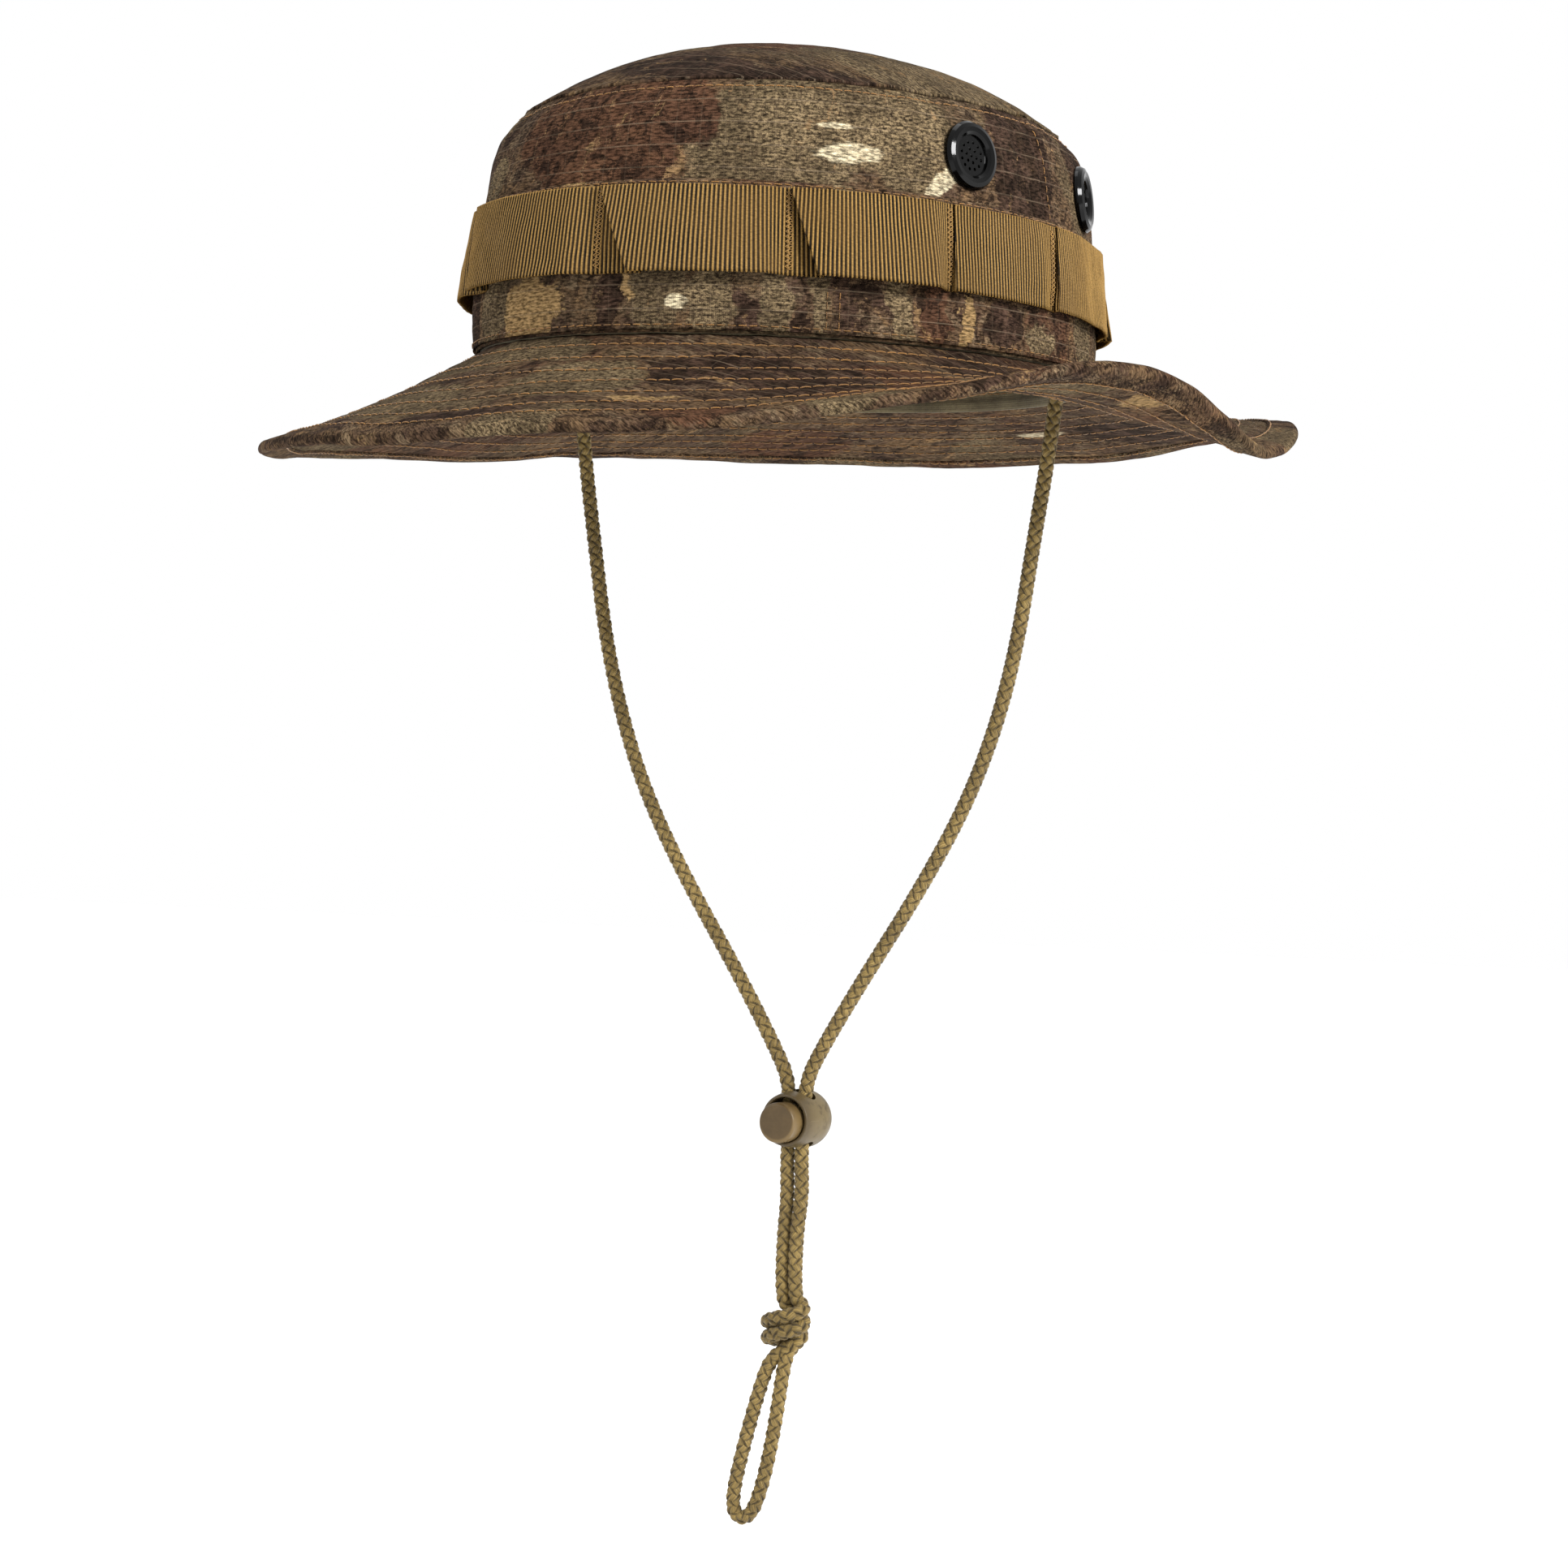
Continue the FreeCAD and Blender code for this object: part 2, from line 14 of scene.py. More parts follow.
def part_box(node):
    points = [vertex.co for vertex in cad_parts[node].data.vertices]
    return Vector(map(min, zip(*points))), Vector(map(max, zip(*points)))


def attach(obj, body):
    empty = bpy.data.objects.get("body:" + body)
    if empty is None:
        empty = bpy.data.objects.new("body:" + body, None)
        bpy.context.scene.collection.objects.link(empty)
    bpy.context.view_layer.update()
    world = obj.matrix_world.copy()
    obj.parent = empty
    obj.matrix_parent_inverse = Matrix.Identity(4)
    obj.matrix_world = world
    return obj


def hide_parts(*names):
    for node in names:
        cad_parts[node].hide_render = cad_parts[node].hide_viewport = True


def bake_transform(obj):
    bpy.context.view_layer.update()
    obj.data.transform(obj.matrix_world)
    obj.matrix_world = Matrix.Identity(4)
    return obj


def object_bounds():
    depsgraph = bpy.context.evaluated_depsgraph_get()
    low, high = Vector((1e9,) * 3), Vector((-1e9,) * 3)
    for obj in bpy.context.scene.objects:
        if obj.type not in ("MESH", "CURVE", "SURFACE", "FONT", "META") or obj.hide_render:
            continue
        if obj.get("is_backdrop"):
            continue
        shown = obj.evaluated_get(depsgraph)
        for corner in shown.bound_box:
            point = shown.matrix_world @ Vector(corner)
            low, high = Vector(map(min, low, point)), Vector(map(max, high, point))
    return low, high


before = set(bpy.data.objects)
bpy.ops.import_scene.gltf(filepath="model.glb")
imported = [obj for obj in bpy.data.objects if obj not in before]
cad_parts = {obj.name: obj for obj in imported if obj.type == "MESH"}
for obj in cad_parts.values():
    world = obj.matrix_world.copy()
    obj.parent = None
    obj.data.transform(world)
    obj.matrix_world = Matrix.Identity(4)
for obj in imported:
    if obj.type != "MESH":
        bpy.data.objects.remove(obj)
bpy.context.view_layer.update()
MM = 0.001

# ---------------------------------------------------------------- the hat's surfaces

HALF_WIDTH, HALF_LENGTH = 0.084, 0.106
CROWN_PROFILE = [(0.0, 4.5), (10.0, 4.8), (25.0, 4.2), (45.0, 2.6), (60.0, 1.0), (68.0, -1.5),
                 (72.0, -4.5), (74.5, -7.5)]
TOP_SEAM = 74.5 * MM
CLOTH = 0.8 * MM
GAP = 0.1 * MM
DOME_EDGE, DOME_FOOT, DOME_RISE, DOME_POWER = -7.6 * MM, 74.6 * MM, 21.5 * MM, 2.4
TAPE_WIDTH = 25.0 * MM
BAND_ABOVE_TAPE = 2.0 * MM
BAND_SEAM = 43.0
BRIM_INNER, BRIM_WIDTH, BRIM_TOP = 3.0 * MM, 64.0 * MM, -0.35 * MM
BRIM_SHAPE = [(0, -17.2, -31.6), (30, -16.0, -27.8), (48, -13.4, -18.8), (60, -11.6, -10.6),
              (72, -12.0, -8.0), (80, -13.0, -11.5), (87, -14.0, -18.5), (95, -14.0, -24.0),
              (104, -12.5, -20.5), (114, -10.0, -14.5), (127, -7.0, -9.0), (145, -5.5, -7.5),
              (180, -6.5, -12.5), (225, -6.5, -12.0), (260, -12.6, -19.5), (295, -16.2, -26.5),
              (320, -17.4, -30.4), (340, -17.6, -31.8)]
BINDING_START = 0.883
BRIM_ROWS = [0.094, 0.225, 0.355, 0.486, 0.616, 0.747]
VENTS = {"left_front": (70.0, 57.0), "left_back": (110.0, 54.0),
         "right_front": (-72.0, 58.0), "right_back": (-110.0, 56.0)}
VENT_HOLE = 6.4 * MM


def oval(angle, offset, z):
    """Points at an offset outside the head opening's oval, as an array with xyz last."""
    turn = np.radians(angle)
    x = (HALF_WIDTH + offset) * np.sin(turn)
    y = -(HALF_LENGTH + offset) * np.cos(turn)
    return np.stack(np.broadcast_arrays(x, y, z), axis=-1)


def arc_table():
    """Angles and the arc length from the front along the crown's foot."""
    angles = np.arange(-400.0, 800.0, 0.5)
    points = oval(angles, 4.0 * MM, 0.0)
    steps = np.linalg.norm(np.diff(points, axis=0), axis=1)
    lengths = np.concatenate([[0.0], np.cumsum(steps)])
    return angles, lengths - np.interp(0.0, angles, lengths)


ARC_ANGLES, ARC_LENGTHS = arc_table()


def arc(angle):
    """Arc length in metres from the front to an angle."""
    return np.interp(angle, ARC_ANGLES, ARC_LENGTHS)


def angle_at(length):
    return np.interp(length, ARC_LENGTHS, ARC_ANGLES)


def noise_at(points, scales, seed):
    """Smooth noise from about -1 to 1 at an array of points, with a scale for each axis."""
    shape = points.shape[:-1]
    flat = (points.reshape(-1, 3) * np.array(scales) + seed * 7.31).tolist()
    return np.array([noise.noise(p) for p in flat]).reshape(shape)


def profile_table():
    """The crown's profile with its corners eased over a few millimetres."""
    z = np.arange(-10.0, 90.0, 0.5)
    offset = np.interp(z, [row[0] for row in CROWN_PROFILE], [row[1] for row in CROWN_PROFILE])
    offset = np.where(z > 74.5, -7.5 - 1.2 * (z - 74.5), offset)
    kernel = np.exp(-0.5 * (np.arange(-8, 9) / 3.0)**2)
    eased = np.convolve(np.pad(offset, 8, mode="edge"), kernel / kernel.sum(), mode="valid")
    return z * MM, eased * MM


PROFILE_Z, PROFILE_OFFSET = profile_table()


def crown_offset(z):
    return np.interp(z, PROFILE_Z, PROFILE_OFFSET)


def vent_centre(name):
    angle, height = VENTS[name]
    z = height * MM
    return oval(angle, np.interp(height, [row[0] for row in CROWN_PROFILE],
                                 [row[1] for row in CROWN_PROFILE]) * MM, z)


def away_from_vents(points, reach):
    """0 at a vent, 1 well away from it."""
    weight = np.ones(points.shape[:-1])
    for name in VENTS:
        distance = np.linalg.norm(points - vent_centre(name), axis=-1)
        weight *= 1 - np.exp(-(distance / reach)**4)
    return weight


def crown_wave(angle, z):
    """How far the crown's cloth stands off its smooth shape, in metres."""
    points = oval(angle, 0.0, z)
    soft = 1.3 * noise_at(points, (24, 24, 26), 1)
    folds = 1.0 * noise_at(points, (70, 70, 24), 2)
    crinkle = 0.20 * noise_at(points, (170, 170, 210), 3)
    near_seam = np.exp(-(TOP_SEAM - points[..., 2]) / 0.012)
    puckers = 1.25 * near_seam * noise_at(points, (140, 140, 30), 4)
    pulled = -0.35 * np.exp(-((points[..., 2] - 72.3 * MM) / 0.0011)**2)
    calm = np.clip(points[..., 2] / 0.012, 0.15, 1)
    total = (soft * (1 - 0.6 * near_seam) + folds) * calm + crinkle + puckers + pulled
    return total * away_from_vents(points, 0.0135) * MM


def sunk(angle, z):
    """How far the crown's shoulder has sunk on its front right side, in metres."""
    turned = np.clip(np.cos(np.radians(0.9 * ((angle + 238.0) % 360.0 - 180.0))), 0, 1)
    low = 4.6 * MM * turned**2 * smooth((z - 40 * MM) / (30 * MM))
    return low * away_from_vents(oval(angle, 0.0, z), 0.0135)


def crown_point(angle, z, out):
    """Point on the crown, out metres outside the crown side's outer face."""
    angle, z = np.broadcast_arrays(np.asarray(angle, float), np.asarray(z, float))
    return oval(angle, crown_offset(z) + crown_wave(angle, z) + out, z - sunk(angle, z))


def tape_bottom(angle):
    return (14.8 + 2.2 * np.cos(np.radians(angle - 20.0))) * MM


def tape_top(angle):
    return tape_bottom(angle) + TAPE_WIDTH


def band_top(angle):
    return tape_top(angle) + BAND_ABOVE_TAPE


def brim_column(angle, column):
    """Smooth value of a column of BRIM_SHAPE, periodic over 360 degrees."""
    rows = [(row[0] + turn, row[column]) for turn in (-360, 0, 360) for row in BRIM_SHAPE]
    after = next(i for i, row in enumerate(rows) if row[0] > angle)
    (a0, v0), (a1, v1), (a2, v2), (a3, v3) = rows[after - 2:after + 2]
    span = a2 - a1
    t = (angle - a1) / span
    slope_in = (v2 - v0) / (a2 - a0) * span
    slope_out = (v3 - v1) / (a3 - a1) * span
    return ((2 * t**3 - 3 * t**2 + 1) * v1 + (t**3 - 2 * t**2 + t) * slope_in
            + (3 * t**2 - 2 * t**3) * v2 + (t**3 - t**2) * slope_out)


BRIM_ANGLES = np.arange(0.0, 360.0, 0.5)
BRIM_MIDDLE = np.array([brim_column(a, 1) for a in BRIM_ANGLES]) * MM
BRIM_EDGE = np.array([brim_column(a, 2) for a in BRIM_ANGLES]) * MM


def brim_point(angle, step, up, puff=0.0):
    """Point on the brim: step is 0 at the seam and 1 at the edge, up is above its top cloth.

    puff is how far the cloth stands proud between two rows of stitches.
    """
    angle, step, up = np.broadcast_arrays(np.asarray(angle, float), np.asarray(step, float), up)
    middle = np.interp(angle % 360.0, BRIM_ANGLES, BRIM_MIDDLE, period=360.0)
    edge = np.interp(angle % 360.0, BRIM_ANGLES, BRIM_EDGE, period=360.0)
    height = (4 * middle - edge) * step + (2 * edge - 4 * middle) * step**2
    flat = oval(angle, BRIM_INNER + BRIM_WIDTH * step, 0.0)
    reach = np.clip(step, 0, 1)
    height = height + 1.5 * MM * reach * noise_at(flat, (22, 22, 0), 11)
    height = height + 0.35 * MM * np.clip(4 * reach, 0, 1) * noise_at(flat, (75, 75, 0), 12)
    if puff:
        row_dip = np.ones(step.shape)
        for row in BRIM_ROWS:
            row_dip = row_dip * (1 - np.exp(-((step - row) / 0.026)**2))
        crinkle = 0.55 + 0.45 * noise_at(flat, (210, 210, 0), 13)
        height = height + puff * row_dip * crinkle
    return oval(angle, BRIM_INNER + BRIM_WIDTH * step, BRIM_TOP + height + up)


# ---------------------------------------------------------------- mesh helpers


def new_object(name, vertices, faces, uvs, material):
    """Mesh object from arrays; uvs holds one (u, v) per face corner, in order."""
    mesh = bpy.data.meshes.new(name)
    mesh.from_pydata(vertices.tolist(), [], faces)
    layer = mesh.uv_layers.new(name="cloth")
    layer.data.foreach_set("uv", np.asarray(uvs, np.float32).ravel())
    mesh.polygons.foreach_set("use_smooth", [True] * len(mesh.polygons))
    mesh.materials.append(material)
    mesh.update()
    thing = bpy.data.objects.new(name, mesh)
    bpy.context.scene.collection.objects.link(thing)
    return thing


def sheet_mesh(name, front, back, uv, material, closed=False, keep=None):
    """Cloth of two matching grids of points, closed by a rim along every open edge.

    closed joins the last column to the first. keep says which cells are cloth.
    """
    rows, columns = front.shape[:2]
    cells = columns if closed else columns - 1
    if keep is None:
        keep = np.ones((rows - 1, cells), bool)
    i, j = np.nonzero(keep)
    after = (j + 1) % columns
    corner = [i * columns + j, i * columns + after, (i + 1) * columns + after, (i + 1) * columns + j]
    top = np.stack(corner, axis=1)
    under = top[:, ::-1] + rows * columns
    uv_next = np.where(j + 1 < uv.shape[1], j + 1, j)
    flat_uv = np.stack([uv[i, j], uv[i, uv_next], uv[i + 1, uv_next], uv[i + 1, j]], axis=1)
    wide = np.zeros((rows + 1, cells + 2), bool)
    wide[1:rows, 1:cells + 1] = keep
    if closed:
        wide[:, 0], wide[:, -1] = wide[:, cells], wide[:, 1]
    sides = [(wide[i, j + 1], 0, 1), (wide[i + 1, j + 2], 1, 2),
             (wide[i + 2, j + 1], 2, 3), (wide[i + 1, j], 3, 0)]
    rims, rim_uvs = [], []
    for beside, first, last in sides:
        open_edge = ~beside
        a, b = top[open_edge, first], top[open_edge, last]
        rims.append(np.stack([b, a, a + rows * columns, b + rows * columns], axis=1))
        ua, ub = flat_uv[open_edge, first], flat_uv[open_edge, last]
        rim_uvs.append(np.stack([ub, ua, ua, ub], axis=1))
    faces = np.concatenate([top, under] + rims)
    corners = np.concatenate([flat_uv, flat_uv[:, ::-1]] + rim_uvs)
    points = np.concatenate([front.reshape(-1, 3), back.reshape(-1, 3)])
    used, packed = np.unique(faces, return_inverse=True)
    return new_object(name, points[used], packed.reshape(faces.shape).tolist(), corners, material)


def smooth(value):
    value = np.clip(value, 0, 1)
    return value * value * (3 - 2 * value)


def unit(vectors):
    return vectors / np.maximum(np.linalg.norm(vectors, axis=-1, keepdims=True), 1e-12)


def tube_mesh(name, paths, radius, material, sides=6, flatten=1.0, ups=None, along=None):
    """Tubes along paths, an array (tubes, points, 3), with pinched ends.

    flatten makes the section thinner along ups, one direction per point. along is the UV
    distance at each point, where it isn't the tube's own length.
    """
    tangent = unit(np.gradient(paths, axis=1))
    if ups is None:
        ups = np.zeros_like(paths) + np.array([0.31, 0.22, 0.92])
    across = unit(np.cross(tangent, ups))
    ups = np.cross(across, tangent)
    tubes, count = paths.shape[:2]
    size = np.full(count, radius)
    size[0] = size[-1] = radius * 0.35
    turn = np.arange(sides) * 2 * math.pi / sides
    ring = (across[:, :, None] * np.cos(turn)[None, None, :, None]
            + ups[:, :, None] * np.sin(turn)[None, None, :, None] * flatten)
    points = paths[:, :, None] + ring * size[None, :, None, None]
    if along is None:
        step = np.linalg.norm(np.diff(paths, axis=1), axis=2)
        along = np.concatenate([np.zeros((tubes, 1)), np.cumsum(step, axis=1)], axis=1)
    base = (np.arange(tubes)[:, None, None] * count + np.arange(count - 1)[None, :, None]) * sides
    k = np.arange(sides)[None, None, :]
    nxt = (k + 1) % sides
    quads = np.stack([base + k, base + nxt, base + sides + nxt, base + sides + k], axis=-1)
    start, end = along[:, :-1, None] + 0 * k, along[:, 1:, None] + 0 * k
    around = radius * 2 * math.pi * k / sides + 0 * start
    beyond = around + radius * 2 * math.pi / sides
    uv = np.stack([np.stack([start, around], -1), np.stack([start, beyond], -1),
                   np.stack([end, beyond], -1), np.stack([end, around], -1)], axis=-2)
    first = np.arange(tubes)[:, None] * count * sides
    caps = np.concatenate([first + np.arange(sides)[None, ::-1],
                           first + (count - 1) * sides + np.arange(sides)[None, :]])
    faces = quads.reshape(-1, 4).tolist() + caps.tolist()
    corner_uv = np.concatenate([uv.reshape(-1, 2), np.zeros((caps.size, 2))])
    return new_object(name, points.reshape(-1, 3), faces, corner_uv, material)


def stitch_paths(surface, u, v, along, length, lift):
    """Centre lines of stitches that dip into a surface at both ends.

    surface maps (u, v) to a point; along says which of u and v the stitches run along. The
    cross product of its u and v directions has to point out of the cloth.
    """
    du, dv = 0.05, 0.05 * MM
    here = surface(u, v)
    step_u = surface(u + du, v) - here
    step_v = surface(u, v + dv) - here
    normal = unit(np.cross(step_u, step_v))
    tangent = unit(step_u if along == "u" else step_v)
    rng = np.random.default_rng(7)
    tilt = rng.normal(0, 0.07, (len(here), 1))
    tangent = unit(tangent + np.cross(normal, tangent) * tilt)
    spans = np.array([-0.5, -0.42, -0.22, 0.0, 0.22, 0.42, 0.5]) * length
    heights = np.array([-0.25, 0.05, 0.16, 0.2, 0.16, 0.05, -0.25]) * MM + lift
    return (here[:, None] + tangent[:, None] * spans[None, :, None]
            + normal[:, None] * heights[None, :, None])


def stand_for(piece, body, nodes):
    """Let a piece ride on a body in place of CAD nodes, which it hides."""
    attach(piece, body)
    if nodes:
        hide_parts(*nodes)
    return piece


# ---------------------------------------------------------------- materials


def colour(code):
    """Linear colour of an sRGB hex code."""
    values = [int(code[i:i + 2], 16) / 255 for i in (0, 2, 4)]
    return [v / 12.92 if v <= 0.04045 else ((v + 0.055) / 1.055)**2.4 for v in values] + [1.0]


class Graph:
    """Builds one material's nodes round a Principled shader."""

    def __init__(self, name, roughness=0.8):
        self.material = bpy.data.materials.new(name)
        self.material.use_nodes = True
        self.tree = self.material.node_tree
        self.tree.nodes.clear()
        output = self.tree.nodes.new("ShaderNodeOutputMaterial")
        self.shader = self.tree.nodes.new("ShaderNodeBsdfPrincipled")
        self.tree.links.new(self.shader.outputs[0], output.inputs["Surface"])
        self.shader.inputs["Roughness"].default_value = roughness

    def node(self, kind, **settings):
        made = self.tree.nodes.new(kind)
        for key, value in settings.items():
            setattr(made, key, value)
        return made

    def put(self, socket, value):
        if isinstance(value, bpy.types.NodeSocket):
            self.tree.links.new(value, socket)
        else:
            socket.default_value = value

    def uv(self):
        return self.node("ShaderNodeUVMap", uv_map="cloth").outputs[0]

    def place(self):
        return self.node("ShaderNodeTexCoord").outputs["Object"]

    def math(self, operation, a, b=0.0):
        made = self.node("ShaderNodeMath", operation=operation)
        self.put(made.inputs[0], a)
        self.put(made.inputs[1], b)
        return made.outputs[0]

    def total(self, values):
        result = values[0]
        for value in values[1:]:
            result = self.math("ADD", result, value)
        return result

    def vector(self, operation, a, b=(0, 0, 0)):
        made = self.node("ShaderNodeVectorMath", operation=operation)
        self.put(made.inputs[0], a)
        self.put(made.inputs[1], b)
        return made.outputs["Value" if operation == "LENGTH" else "Vector"]

    def mapped(self, vector, location=(0, 0, 0), turn=0.0, scale=(1, 1, 1), kind="POINT"):
        made = self.node("ShaderNodeMapping", vector_type=kind)
        self.put(made.inputs[0], vector)
        made.inputs[1].default_value = location
        made.inputs[2].default_value = (0, 0, math.radians(turn))
        made.inputs[3].default_value = scale
        return made.outputs[0]

    def noise(self, vector, scale, detail=2.0, roughness=0.5, distortion=0.0, output=0):
        made = self.node("ShaderNodeTexNoise")
        self.put(made.inputs["Vector"], vector)
        made.inputs["Scale"].default_value = scale
        made.inputs["Detail"].default_value = detail
        made.inputs["Roughness"].default_value = roughness
        made.inputs["Distortion"].default_value = distortion
        return made.outputs[output]

    def between(self, value, low, high, first=0.0, last=1.0):
        made = self.node("ShaderNodeMapRange", interpolation_type="SMOOTHSTEP")
        self.put(made.inputs[0], value)
        for i, number in enumerate((low, high, first, last)):
            made.inputs[i + 1].default_value = number
        return made.outputs[0]

    def mix(self, factor, a, b, blend="MIX"):
        made = self.node("ShaderNodeMix", data_type="RGBA", blend_type=blend)
        self.put(made.inputs[0], factor)
        self.put(made.inputs[6], colour(a) if isinstance(a, str) else a)
        self.put(made.inputs[7], colour(b) if isinstance(b, str) else b)
        return made.outputs[2]

    def shade(self, base, value, low, high):
        """Multiply a colour by a grey from low to high as value goes from 0 to 1."""
        grey = self.between(value, 0.0, 1.0, low, high)
        return self.mix(1.0, base, self.node_grey(grey), "MULTIPLY")

    def node_grey(self, value):
        made = self.node("ShaderNodeCombineColor")
        for socket in made.inputs[:3]:
            self.put(socket, value)
        return made.outputs[0]

    def blob(self, vector, centre, radii, turn=0.0):
        """1 inside an ellipse with a soft edge, 0 outside."""
        local = self.mapped(vector, (centre[0], centre[1], 0), turn, (radii[0], radii[1], 1), "TEXTURE")
        flat = self.vector("MULTIPLY", local, (1, 1, 0))
        return self.between(self.vector("LENGTH", flat), 1.3, 0.7)

    def wave(self, vector, pitch, axis):
        """Cosine from 0 to 1 along an axis, with a pitch in metres."""
        parts = self.node("ShaderNodeSeparateXYZ")
        self.put(parts.inputs[0], vector)
        phase = self.math("MULTIPLY", parts.outputs[axis], 2 * math.pi / pitch)
        return self.math("MULTIPLY_ADD", self.math("COSINE", phase), 0.5)

    def bump(self, height, distance, strength=1.0, normal=None):
        made = self.node("ShaderNodeBump")
        made.inputs["Strength"].default_value = strength
        made.inputs["Distance"].default_value = distance
        self.put(made.inputs["Height"], height)
        if normal is not None:
            self.put(made.inputs["Normal"], normal)
        return made.outputs[0]

    def finish(self, base, normal=None, roughness=None, **sockets):
        self.put(self.shader.inputs["Base Color"], base)
        if normal is not None:
            self.put(self.shader.inputs["Normal"], normal)
        if roughness is not None:
            self.put(self.shader.inputs["Roughness"], roughness)
        for key, value in sockets.items():
            self.shader.inputs[key.replace("_", " ")].default_value = value
        return self.material


DARK, UMBER, BROWN, RUST = "251b15", "43332a", "655039", "5a3e2d"
OLIVE, KHAKI, TAN, CREAM = "5e503b", "806e52", "9c7f55", "dccdaa"
PRINT_TONE = 0.74


def ripstop(graph, uv, field):
    """Thicker yarns about 7 mm apart, plainer across than up, and worn away in places."""
    faint = graph.between(graph.noise(field, 60, 3, 0.6), 0.35, 0.65, 0.35, 1.0)
    across = graph.between(graph.wave(uv, 0.0068, 1), 0.982, 1.0)
    upward = graph.between(graph.wave(uv, 0.0074, 0), 0.986, 1.0, 0.0, 0.25)
    return graph.math("MULTIPLY", graph.math("MAXIMUM", across, upward), faint)


